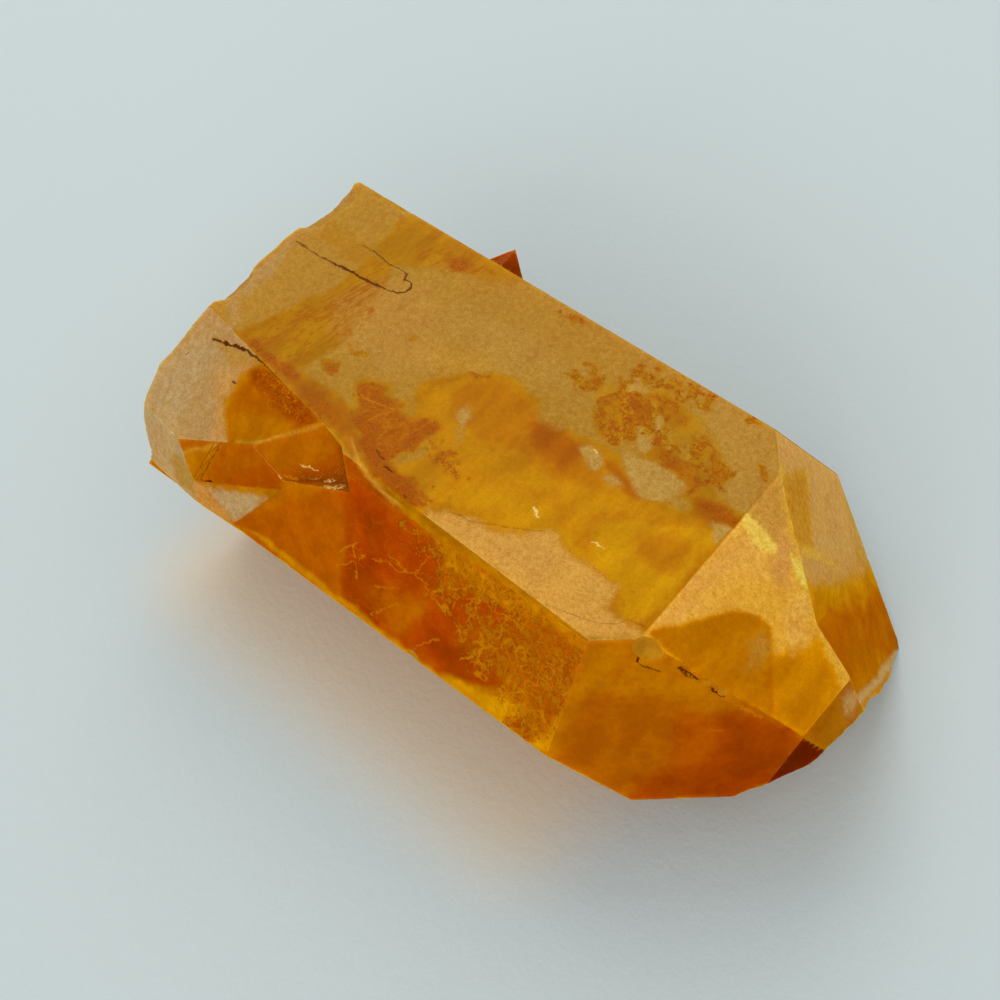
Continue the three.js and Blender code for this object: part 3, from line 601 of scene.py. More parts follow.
class QuartzSettings(bpy.types.PropertyGroup):
    """Sizes and colours of the crystal."""

    fine_spacing: bpy.props.FloatProperty(
        name="Fine spacing", description="Distance in millimetres between points on the most marked faces",
        default=0.3, min=0.2, max=2)
    plain_spacing: bpy.props.FloatProperty(
        name="Plain spacing", description="Distance in millimetres between points on the plainer faces",
        default=0.55, min=0.2, max=3)
    edge_wear: bpy.props.FloatProperty(
        name="Edge wear", description="How far the edges are rubbed back, in millimetres",
        default=0.035, min=0, max=0.3)
    edge_chips: bpy.props.FloatProperty(
        name="Edge chips", description="How deep the small chips along the edges go, in millimetres",
        default=0.32, min=0, max=1)
    break_grain: bpy.props.FloatProperty(
        name="Break grain", description="Height of the fine relief on the broken ends, in millimetres",
        default=0.09, min=0, max=0.5)
    clearness: bpy.props.FloatProperty(
        name="Clearness", description="Share of the light that passes into the stone",
        default=0.25, min=0, max=1, subtype="FACTOR")
    hair_colour: bpy.props.FloatVectorProperty(
        name="Hairs", description="Colour of the fine bright hairs in the iron stain",
        default=(0.60, 0.205, 0.0), min=0, max=1, size=3, subtype="COLOR")
    stain_colour: bpy.props.FloatVectorProperty(
        name="Iron stain", description="Colour of the rust patches",
        default=(0.40, 0.075, 0.0), min=0, max=1, size=3, subtype="COLOR")
    crack_colour: bpy.props.FloatVectorProperty(
        name="Cracks", description="Colour of the dirt in the open cracks",
        default=(0.10, 0.01, 0.0), min=0, max=1, size=3, subtype="COLOR")


class StudioSettings(bpy.types.PropertyGroup):
    """The paper, the light and the camera."""

    paper_colour: bpy.props.FloatVectorProperty(
        name="Paper", description="Colour of the paper the crystal lies on",
        default=(0.48, 0.545, 0.55), min=0, max=1, size=3, subtype="COLOR")
    paper_size: bpy.props.FloatProperty(
        name="Paper size", description="Side of the sheet of paper",
        default=2.4, min=0.3, max=10, unit="LENGTH")
    sky: bpy.props.FloatProperty(
        name="Room light", description="Strength of the even light from the room",
        default=0.76, min=0, max=10)
    window: bpy.props.FloatProperty(
        name="Window light", description="Power of the soft light above and behind the crystal",
        default=2.5, min=0, max=100, unit="POWER")
    fill: bpy.props.FloatProperty(
        name="Fill light", description="Power of the broad light in front of the crystal",
        default=11.5, min=0, max=100, unit="POWER")


# ---- The skin: an even net of points over every face ------------------------------------------------

FLAT_WITHIN_MM, FLAT_COSINE = 0.006, 0.9998     # how closely one patch's triangles share its plane
SLIVER_MM2 = 0.02                               # triangles smaller than this may face anywhere
FACE_WITHIN_MM, FACE_COSINE = 0.12, 0.9995      # how closely a patch has to lie as its face does
BREAK_WITHIN_MM, BREAK_COSINE = 2.6, 0.5        # the same for the uneven, broken faces
SPROUT_ALONG_MM, SPROUT_REACH_MM = -35, 5       # where the small crystal grows along the back
SPROUT_BEHIND_MM, SPROUT_MM2 = 9, 0.8           # how far back it starts, and its smallest face
SHARP_COSINE = math.cos(math.radians(11))       # edges that bend more than this are sharp
ROW_STEP = 0.866                                # height of an even triangle with sides of 1
DEEPEST_CHIP_MM = 0.3
SMOOTHING_PASSES, SMOOTHING_SHARE = 6, 0.5      # how far the coarse steps of the breaks are rounded


def outward(around, lean):
    turn, tilt = math.radians(around), math.radians(lean)
    return np.array([math.sin(tilt), -math.sin(turn) * math.cos(tilt), math.cos(turn) * math.cos(tilt)])


def solid_of(node):
    """The solid's shared corners, in mm about the crystal's centre, and its triangles."""
    mesh = node.data
    mesh.calc_loop_triangles()
    points = np.empty(len(mesh.vertices) * 3, np.float32)
    mesh.vertices.foreach_get("co", points)
    triangles = np.empty(len(mesh.loop_triangles) * 3, np.int32)
    mesh.loop_triangles.foreach_get("vertices", triangles)
    points = points.reshape(-1, 3).astype(float) * MM_PER_METRE - CENTRE_MM
    corners, where = np.unique(np.round(points, 4), axis=0, return_inverse=True)
    triangles = where.reshape(-1)[triangles].reshape(-1, 3)
    proper = (triangles != np.roll(triangles, 1, axis=1)).all(1)
    return corners, triangles[proper]


def normals_of(points, triangles):
    a, b, c = (points[triangles[:, k]] for k in range(3))
    cross = np.cross(b - a, c - a)
    length = np.linalg.norm(cross, axis=1)
    return cross / np.maximum(length, 1e-12)[:, None], length / 2


def sides_of(triangle):
    """A triangle's sides, each as it runs and as it is filed."""
    a, b, c = triangle
    return [((i, j), (min(i, j), max(i, j))) for i, j in ((a, b), (b, c), (c, a))]


def neighbours_of(triangles):
    """For each edge of the solid, the triangles on its two sides."""
    beside = {}
    for index, triangle in enumerate(triangles.tolist()):
        for _, edge in sides_of(triangle):
            beside.setdefault(edge, []).append(index)
    if any(len(pair) != 2 for pair in beside.values()):
        raise RuntimeError("the solid isn't closed")
    return beside


def flat_patches(points, triangles, normals, areas, beside):
    """Numbers the triangles by the flat patch that they lie in."""
    touching = [[] for _ in triangles]
    for one, two in beside.values():
        touching[one].append(two)
        touching[two].append(one)
    patch = np.full(len(triangles), -1)
    planes = []
    for seed in np.argsort(-areas):
        if patch[seed] >= 0:
            continue
        normal = normals[seed]
        level = points[triangles[seed][0]] @ normal
        patch[seed] = len(planes)
        queue = [seed]
        while queue:
            for other in touching[queue.pop()]:
                if patch[other] >= 0 or (areas[other] > SLIVER_MM2 and normals[other] @ normal < FLAT_COSINE):
                    continue
                if np.abs(points[triangles[other]] @ normal - level).max() < FLAT_WITHIN_MM:
                    patch[other] = len(planes)
                    queue.append(other)
        planes.append((normal, level))
    return patch, planes


def face_name(normal, level, area, middle):
    """Which face of the crystal a flat patch is, or which break, nick or small crystal it is part of."""
    for name, (around, lean, out) in FACES.items():
        if outward(around, lean) @ normal > FACE_COSINE and abs(level - out) < FACE_WITHIN_MM:
            return name
    near_sprout = middle[1] > SPROUT_BEHIND_MM and abs(middle[0] - SPROUT_ALONG_MM) < SPROUT_REACH_MM
    if near_sprout and area > SPROUT_MM2:
        return "sprout"
    best, gap = "nick", BREAK_WITHIN_MM
    for name, (around, lean, out) in BROKEN_FACES.items():
        facing = outward(around, lean)
        distance = abs(middle @ facing - out)
        if facing @ normal > BREAK_COSINE and distance < gap:
            best, gap = name, distance
    return best


def crossings(points, starts, ends):
    """True for the points inside the outline made by the segments."""
    px, py = points[:, 0:1], points[:, 1:2]
    spans = (starts[:, 1] > py) != (ends[:, 1] > py)
    rise = np.where(ends[:, 1] == starts[:, 1], 1e-12, ends[:, 1] - starts[:, 1])
    at = starts[:, 0] + (py - starts[:, 1]) * (ends[:, 0] - starts[:, 0]) / rise
    return (spans & (px < at)).sum(1) % 2 == 1


def clearance(points, starts, ends):
    """Distance of each point to the nearest segment."""
    nearest = np.full(len(points), 1e9)
    for start, end in zip(starts, ends):
        run = end - start
        share = np.clip(((points - start) @ run) / max(run @ run, 1e-12), 0, 1)
        nearest = np.minimum(nearest, np.linalg.norm(points - start - share[:, None] * run, axis=1))
    return nearest


def both_ways(triangles):
    """Every pair of neighbouring points, in both orders."""
    pairs = np.concatenate([triangles[:, [0, 1]], triangles[:, [1, 2]], triangles[:, [2, 0]]])
    return np.concatenate([pairs, pairs[:, ::-1]])


class Skin:
    """The refined surface: its points, its triangles and what each belongs to."""

    INSET = 0.12            # mm from an edge to the row of points that keeps its rounding narrow
    SHORT_EDGE = 0.3        # mm: edges shorter than this get no such row

    def __init__(self, node, fine, plain):
        self.fine, self.plain = fine, plain
        self.corners, triangles = solid_of(node)
        normals, areas = normals_of(self.corners, triangles)
        self.beside = neighbours_of(triangles)
        self.patch, planes = flat_patches(self.corners, triangles, normals, areas, self.beside)
        names = []
        for number, (normal, level) in enumerate(planes):
            mine = self.patch == number
            middle = (self.corners[triangles[mine]].mean(1) * areas[mine, None]).sum(0) / areas[mine].sum()
            names.append(face_name(normal, level, areas[mine].sum(), middle))
        self.points = [tuple(p) for p in self.corners]
        self.faces, self.face_of, self.home = [], [], {}
        self.edges, self.sharp, self.lean_in = {}, {}, {}
        for edge, pair in self.beside.items():
            one, two = self.patch[pair[0]], self.patch[pair[1]]
            if one != two:
                same_break = names[one] in BROKEN_FACES and names[one] == names[two]
                self.sharp[edge] = planes[one][0] @ planes[two][0] < SHARP_COSINE and not same_break
                self.divide(edge, self.spacing(names[one], names[two]))
                if self.sharp[edge]:
                    across = self.corners[triangles[pair[1]]].mean(0) - self.corners[list(edge)].mean(0)
                    self.lean(edge, planes[one][0], planes[two][0], across)
        for number, (normal, _) in enumerate(planes):
            self.fill(names[number], normal, triangles[self.patch == number])
        self.points = np.array(self.points)
        self.faces = np.array(self.faces)

    def spacing(self, *names):
        return self.fine if any(n in FINE_FACES for n in names) else self.plain

    def divide(self, edge, spacing):
        """Puts evenly spaced points along an edge of the solid."""
        a, b = (np.array(self.points[k]) for k in edge)
        steps = max(1, round(float(np.linalg.norm(b - a)) / spacing))
        chain = [edge[0]]
        for k in range(1, steps):
            chain.append(len(self.points))
            self.points.append(tuple(a + (b - a) * k / steps))
        self.edges[edge] = chain + [edge[1]]

    def lean(self, edge, one, two, across):
        """Notes which way the points of a sharp edge move when a convex one is rubbed."""
        for point in self.edges[edge]:
            inwards = self.lean_in.setdefault(point, np.zeros(3))
            if across @ one < 0:
                inwards -= one + two

    def rim_of(self, normal, triangles):
        """The chains of points round a patch, their two ends, and the places just inside sharp edges."""
        chains, ends, insets = [], [], []
        for triangle in triangles.tolist():
            for (i, j), edge in sides_of(triangle):
                one, two = self.beside[edge]
                if self.patch[one] == self.patch[two]:
                    continue
                chain = self.edges[edge] if i < j else self.edges[edge][::-1]
                chains.append(chain)
                ends.append((self.corners[i], self.corners[j]))
                run = self.corners[j] - self.corners[i]
                length = np.linalg.norm(run)
                if self.sharp[edge] and length > self.SHORT_EDGE:
                    inwards = np.cross(normal, run / length)
                    for a, b in zip(chain[:-1], chain[1:]):
                        half = (np.array(self.points[a]) + np.array(self.points[b])) / 2
                        insets.append(half + inwards * self.INSET)
        return chains, np.array(ends), np.array(insets)

    def net_inside(self, flat, starts, ends, step):
        """An even net of places inside the rim, a little clear of it."""
        low, high = flat.min(0), flat.max(0)
        rows = []
        for k, row in enumerate(np.arange(low[1], high[1], step * ROW_STEP)):
            along = np.arange(low[0] + (k % 2) * step / 2, high[0], step)
            rows.append(np.column_stack([along, np.full(len(along), row)]))
        if not rows:
            return np.empty((0, 2))
        net = np.concatenate(rows)
        net = net[crossings(net, starts, ends)]
        return net[clearance(net, starts, ends) > step * 0.6 + self.INSET * 0.5]

    def fill(self, name, normal, triangles):
        """Fills one flat patch with even triangles."""
        helper = np.array([0.0, 0.0, 1.0]) if abs(normal[2]) < 0.9 else np.array([1.0, 0.0, 0.0])
        u = np.cross(helper, normal)
        u /= np.linalg.norm(u)
        axes = np.column_stack([u, np.cross(normal, u)])
        chains, limits, insets = self.rim_of(normal, triangles)
        starts, ends = limits[:, 0] @ axes, limits[:, 1] @ axes
        ids = sorted({point for chain in chains for point in chain})
        slot = {point: k for k, point in enumerate(ids)}
        flat = np.array([self.points[p] for p in ids]) @ axes
        level = float(np.dot(self.points[ids[0]], normal))
        bonds = [(slot[a], slot[b]) for chain in chains for a, b in zip(chain[:-1], chain[1:])]
        spots = [flat]
        if len(insets):
            row = insets @ axes
            clear = clearance(row, starts, ends) > self.INSET * 0.8
            spots.append(row[crossings(row, starts, ends) & clear])
        spots.append(self.net_inside(flat, starts, ends, self.spacing(name)))
        places = [Vector(p) for p in np.concatenate(spots)]
        found, _, found_faces, origin, _, _ = delaunay_2d_cdt(places, bonds, [], 0, 1e-7, True)
        found = np.array([tuple(p) for p in found])
        numbers = np.empty(len(found), int)
        for k, (place, sources) in enumerate(zip(found, origin)):
            if sources and min(sources) < len(ids):
                numbers[k] = ids[min(sources)]
            else:
                numbers[k] = len(self.points)
                self.home[len(self.points)] = name
                self.points.append(tuple(axes @ place + level * normal))
        for point in ids:
            self.home.setdefault(point, name)
        faces = np.array([f for f in found_faces if len(f) == 3])
        keep = crossings(found[faces].mean(1), starts, ends)
        for chain in chains:
            keep &= ~np.isin(numbers[faces], chain).all(1)
        faces = faces[keep]
        a, b, c = (found[faces[:, k]] for k in range(3))
        turn = (b[:, 0] - a[:, 0]) * (c[:, 1] - a[:, 1]) - (b[:, 1] - a[:, 1]) * (c[:, 0] - a[:, 0])
        faces[turn < 0] = faces[turn < 0][:, ::-1]
        self.faces += numbers[faces].tolist()
        self.face_of += [name] * len(faces)


def smooth_breaks(skin, grain):
    """Rounds the coarse relief of the broken ends and gives them a fine shell-like grain."""
    rough = np.array([name in BROKEN_FACES for name in skin.face_of])
    count = len(skin.points)
    free = np.zeros(count, bool)
    free[skin.faces[rough].reshape(-1)] = True
    free[skin.faces[~rough].reshape(-1)] = False
    pairs = both_ways(skin.faces[rough])
    weight = np.bincount(pairs[:, 0], minlength=count)
    for _ in range(SMOOTHING_PASSES):
        total = np.zeros((count, 3))
        np.add.at(total, pairs[:, 0], skin.points[pairs[:, 1]])
        mean = total / np.maximum(weight, 1)[:, None]
        skin.points[free] += SMOOTHING_SHARE * (mean[free] - skin.points[free])
    facing, _ = normals_of(skin.points, skin.faces)
    normal = np.zeros((count, 3))
    for k in range(3):
        np.add.at(normal, skin.faces[:, k], facing)
    normal /= np.maximum(np.linalg.norm(normal, axis=1), 1e-9)[:, None]
    for k in np.nonzero(free)[0]:
        p = Vector(skin.points[k])
        ridged = 1 - abs(noise.noise(p * 0.9)) * 2.4
        fine = noise.noise(p * 2.6 + Vector((7, 3, 1)))
        skin.points[k] += normal[k] * grain * (0.8 * ridged - 0.8 + 0.6 * fine)


def wear_edges(skin, wear, chips):
    """Rubs the convex edges back a little, with small chips here and there."""
    marks = np.zeros(len(skin.points))
    for point, inwards in skin.lean_in.items():
        size = np.linalg.norm(inwards)
        if size < 1e-6:
            continue
        p = Vector(skin.points[point])
        bite = max(0.0, noise.noise(p * 0.55 + Vector((3, 9, 4))) - 0.22)
        bite *= 1.2 + 1.6 * noise.noise(p * 2.1)
        depth = wear * (1 + 0.6 * noise.noise(p * 1.7)) + chips * max(0.0, bite)
        skin.points[point] += inwards / size * min(depth, DEEPEST_CHIP_MM)
        marks[point] = min(1.0, depth / (wear * 2.5))
    return marks


# ---- Marks on the skin ------------------------------------------------------------------------------

DRIFT_MM, DRIFT_PITCH_MM = 0.35, 2.2    # how far, and over what length, drawn outlines wander
FAR_MM = 9.0                            # the distance written where there is no line or patch
LINE_REACH_MM = 1.0                     # points farther than this from a line don't carry its width
HAIRY_FACES = {"front": 1.0, "front_low": 0.8, "back_low": 0.5, "resting": 0.3}
HAIRY_ELSEWHERE = 0.25
NOT_CLOUDED = {"nick", "sprout"}        # parts too small for the hidden faces' clouds
WORN_SHARE = {"nick": 0.0, "plate": 0.25}       # how much of the edges' wear shows, elsewhere all
BLEND_PASSES, BLEND_SHARE = 60, 0.6     # how far the broken faces' values run into one another
RIMMED_BELOW = 10                       # tones with less blue than this have iron in them
RIM_TAKES = np.array([0.06, 0.3, 0.0])  # red, green and blue lost in an iron zone's golden rim
LINE_LAYERS = ((("crack", "crack_width", "crack_depth"), DARK_LINES),
               (("hair", "hair_width", "hair_and_highlight_strength"), BRIGHT_LINES))
MARKS = ("rust", "crack", "crack_width", "crack_depth", "hair", "hair_width", "hair_and_highlight_strength", "hairy",
         "broken", "wild", "worn", "fibres")


def linear(tone):
    """A tone as scene-linear red, green and blue."""
    return np.array([(v / 255 / 12.92) if v <= 10 else ((v / 255 + 0.055) / 1.055) ** 2.4
                     for v in TONES[tone]])


def drift(places, reach, pitch):
    """Places moved about smoothly, so that outlines laid over them wander as grown ones do."""
    x, y = places[:, 0] / pitch, places[:, 1] / pitch
    across = np.sin(1.7 * x + 2.3 * np.sin(0.9 * y + 1)) + 0.5 * np.sin(4.1 * x + 3.2 * y + 2)
    along = np.sin(1.9 * y + 2.1 * np.sin(1.1 * x + 4)) + 0.5 * np.sin(3.7 * y - 3.1 * x)
    if pitch > 1:
        places = drift(places, reach * 0.5, pitch * 0.31)
    return places + reach * np.column_stack([across, along]) / 1.5


def inside_by(places, outline):
    """How far inside the outline each place lies, in mm, negative outside."""
    ends = np.roll(outline, -1, 0)
    gap = clearance(places, outline, ends)
    return np.where(crossings(places, outline, ends), gap, -gap)


def soft(value, low, high):
    share = np.clip((value - low) / (high - low), 0, 1)
    return share * share * (3 - 2 * share)


def laid_out(points, name):
    """The points' places in the plane that a face's marks are drawn in."""
    return points[:, [0, 1]] if name in SEEN_FROM_ABOVE else points[:, [0, 2]]


def seen_on(name, drawn):
    """Where an outline drawn on the camera's frame falls in the plane of a face's marks, in mm."""
    around, lean, out = FACES.get(name, FACES["front"])
    normal = outward(around, lean)
    across, down = (np.array(drawn, float) / FRAME_ACROSS - 0.5).T * SENSOR_MM / LENS_MM
    rays = EYE_AHEAD + across[:, None] * EYE_RIGHT + down[:, None] * EYE_DOWN
    reach = (out - EYE_MM @ normal) / (rays @ normal)
    return laid_out(EYE_MM + rays * reach[:, None], name)


def line_marks(places, name, lines):
    """The signed distance to the nearest line, and that line's width and strength."""
    offset = np.full(len(places), FAR_MM)
    width, strength = np.zeros(len(places)), np.zeros(len(places))
    for wide, strong, drawn in lines:
        course = seen_on(name, drawn)
        last = len(course) - 2
        for k, (start, end) in enumerate(zip(course[:-1], course[1:])):
            run = end - start
            share = ((places - start) @ run) / max(run @ run, 1e-9)
            away = places - start - np.clip(share, 0, 1)[:, None] * run
            gap = np.linalg.norm(away, axis=1)
            side = np.where(run[0] * away[:, 1] < run[1] * away[:, 0], -1, 1)
            nearer = gap < np.abs(offset)
            offset[nearer] = (gap * side)[nearer]
            past = ((k == 0) & (share < 0)) | ((k == last) & (share > 1))
            width[nearer] = np.where((gap < LINE_REACH_MM) & ~past, wide, 0)[nearer]
            strength[nearer] = strong
    return offset, width, strength


def blend_breaks(skin, home, layers):
    """Lets the values of the broken faces run into one another and into their neighbours."""
    rough = np.isin(home, list(BROKEN_FACES))
    pairs = both_ways(skin.faces)
    pairs = pairs[rough[pairs[:, 0]]]
    weight = np.maximum(np.bincount(pairs[:, 0], minlength=len(home)), 1)
    for layer in layers:
        for _ in range(BLEND_PASSES):
            mean = np.bincount(pairs[:, 0], layer[pairs[:, 1]], len(home)) / weight
            layer[rough] += BLEND_SHARE * (mean - layer)[rough]


def zone_colour(name, places, wandering):
    """The colour of a face's points: its ground, with its zones laid over it in order."""
    tint = np.tile(linear(GROUNDS[name]), (len(places), 1))
    for tone, softness, strength, outline in COLOUR_ZONES.get(name, []):
        moved = places + (wandering - places) * min(1.0, softness / 0.5)
        depth = inside_by(moved, seen_on(name, outline))
        if TONES[tone][2] < RIMMED_BELOW:
            # Iron soaks outward as a golden rim.
            rim = strength * soft(depth, -min(1.6 * softness, 0.8), 0.0)[:, None]
            tint *= (1 - RIM_TAKES * rim) * (1 - np.array([0, 0, 1.0]) * rim) ** 3
        share = strength * soft(depth, -softness, softness)
        tint += (linear(tone) - tint) * share[:, None]
    # Painted light: each face's colour is brightened by its own share, for the light the stone gives off
    # there.
    lit = tint * FACE_PAINTED_LIGHT.get(name, 1.0) * OPEN_LIGHT
    return lit / np.maximum(lit.max(axis=1, keepdims=True), 1.0)


def paint(skin, wear):
    """Every mark of the stone, as values on the skin's points."""
    count = len(skin.points)
    home = np.array([skin.home.get(k, "nick") for k in range(count)])
    colour = np.zeros((count, 3))
    marks = {name: np.zeros(count) for name in MARKS}
    for name in sorted(set(home)):
        mine = home == name
        places = laid_out(skin.points[mine], name)
        wandering = drift(places, DRIFT_MM, DRIFT_PITCH_MM)
        colour[mine] = zone_colour(name, places, wandering)
        rust = np.full(len(places), -FAR_MM)
        for fray, fullness, outline in RUST_PATCHES.get(name, []):
            depth = inside_by(wandering, seen_on(name, outline))
            rust = np.maximum(rust, np.minimum(depth / fray, fullness))
        marks["rust"][mine] = rust
        for outline in FIBRES.get(name, []):
            depth = inside_by(places, seen_on(name, outline))
            marks["fibres"][mine] = np.maximum(marks["fibres"][mine], soft(depth, -0.3, 0.5))
        for layers, lines in LINE_LAYERS:
            for layer, values in zip(layers, line_marks(places, name, lines.get(name, []))):
                marks[layer][mine] = values
        marks["broken"][mine] = name in BROKEN_FACES or name == "nick"
        marks["wild"][mine] = name not in COLOUR_ZONES and name not in NOT_CLOUDED
        marks["hairy"][mine] = HAIRY_FACES.get(name, HAIRY_ELSEWHERE)
    marks["worn"] = wear * np.array([WORN_SHARE.get(name, 1.0) for name in home])
    blend_breaks(skin, home, [colour[:, 0], colour[:, 1], colour[:, 2], marks["wild"]])
    return colour, marks


# ---- Shader maths -----------------------------------------------------------------------------------


class Wire:
    """A socket that can be used in a sum."""

    def __init__(self, sheet, socket):
        self.sheet, self.socket = sheet, socket

    def _sum(self, operation, one, two):
        return self.sheet.add("ShaderNodeMath", {"operation": operation}, {0: one, 1: two})

    def __add__(self, other):
        return self._sum("ADD", self, other)

    def __radd__(self, other):
        return self._sum("ADD", other, self)

    def __sub__(self, other):
        return self._sum("SUBTRACT", self, other)

    def __rsub__(self, other):
        return self._sum("SUBTRACT", other, self)

    def __mul__(self, other):
        return self._sum("MULTIPLY", self, other)

    def __rmul__(self, other):
        return self._sum("MULTIPLY", other, self)

    def __abs__(self):
        return self.sheet.add("ShaderNodeMath", {"operation": "ABSOLUTE"}, {0: self})


class Sheet:
    """The nodes of one material or world."""

    def __init__(self, tree):
        self.tree = tree
        tree.nodes.clear()

    def add(self, kind, settings=None, inputs=None, output=0):
        """Adds one node: its settings first, then the values or links of its sockets."""
        node = self.tree.nodes.new(kind)
        for name, value in (settings or {}).items():
            setattr(node, name, value)
        for name, value in (inputs or {}).items():
            if isinstance(value, Wire):
                self.tree.links.new(value.socket, node.inputs[name])
            else:
                node.inputs[name].default_value = value
        return Wire(self, node.outputs[output]) if node.outputs else node

    def value(self, name):
        return self.add("ShaderNodeAttribute", {"attribute_name": name}, output=2)

    def most(self, one, two):
        return self.add("ShaderNodeMath", {"operation": "MAXIMUM"}, {0: one, 1: two})

    def vector(self, operation, one, two, output=0):
        return self.add("ShaderNodeVectorMath", {"operation": operation}, {0: one, 1: two}, output)

    def place_mm(self):
        """Each place on the object's own axes, in mm."""
        place = self.add("ShaderNodeTexCoord", output=3)
        return self.add("ShaderNodeVectorMath", {"operation": "SCALE"}, {0: place, "Scale": MM_PER_METRE})

    def ramp(self, value, low, high, to_low=0.0, to_high=1.0):
        """A soft step from low to high."""
        return self.add("ShaderNodeMapRange", {"interpolation_type": "SMOOTHSTEP"},
                        {0: value, 1: low, 2: high, 3: to_low, 4: to_high})

    def mix(self, share, one, two, blend="MIX"):
        return self.add("ShaderNodeMix", {"data_type": "RGBA", "blend_type": blend},
                        {0: share, 6: one, 7: two}, output=2)

    def noise(self, vector, scale, detail=2.0, roughness=0.5, distortion=0.0):
        return self.add("ShaderNodeTexNoise", {}, {"Vector": vector, "Scale": scale, "Detail": detail,
                        "Roughness": roughness, "Distortion": distortion})

    def creases(self, vector, scale, roughness=0.5, distortion=0.0, detail=2.0):
        """How far each place is from the winding level lines of a noise."""
        return abs(self.noise(vector, scale, detail, roughness, distortion) - 0.5)

    def moved(self, vector, shift=(0, 0, 0), stretch=(1, 1, 1), turn=(0, 0, 0), kind="POINT"):
        return self.add("ShaderNodeMapping", {"vector_type": kind}, {
            "Vector": vector, "Location": shift, "Rotation": turn, "Scale": stretch})


def opaque(colour):
    return (colour[0], colour[1], colour[2], 1.0)


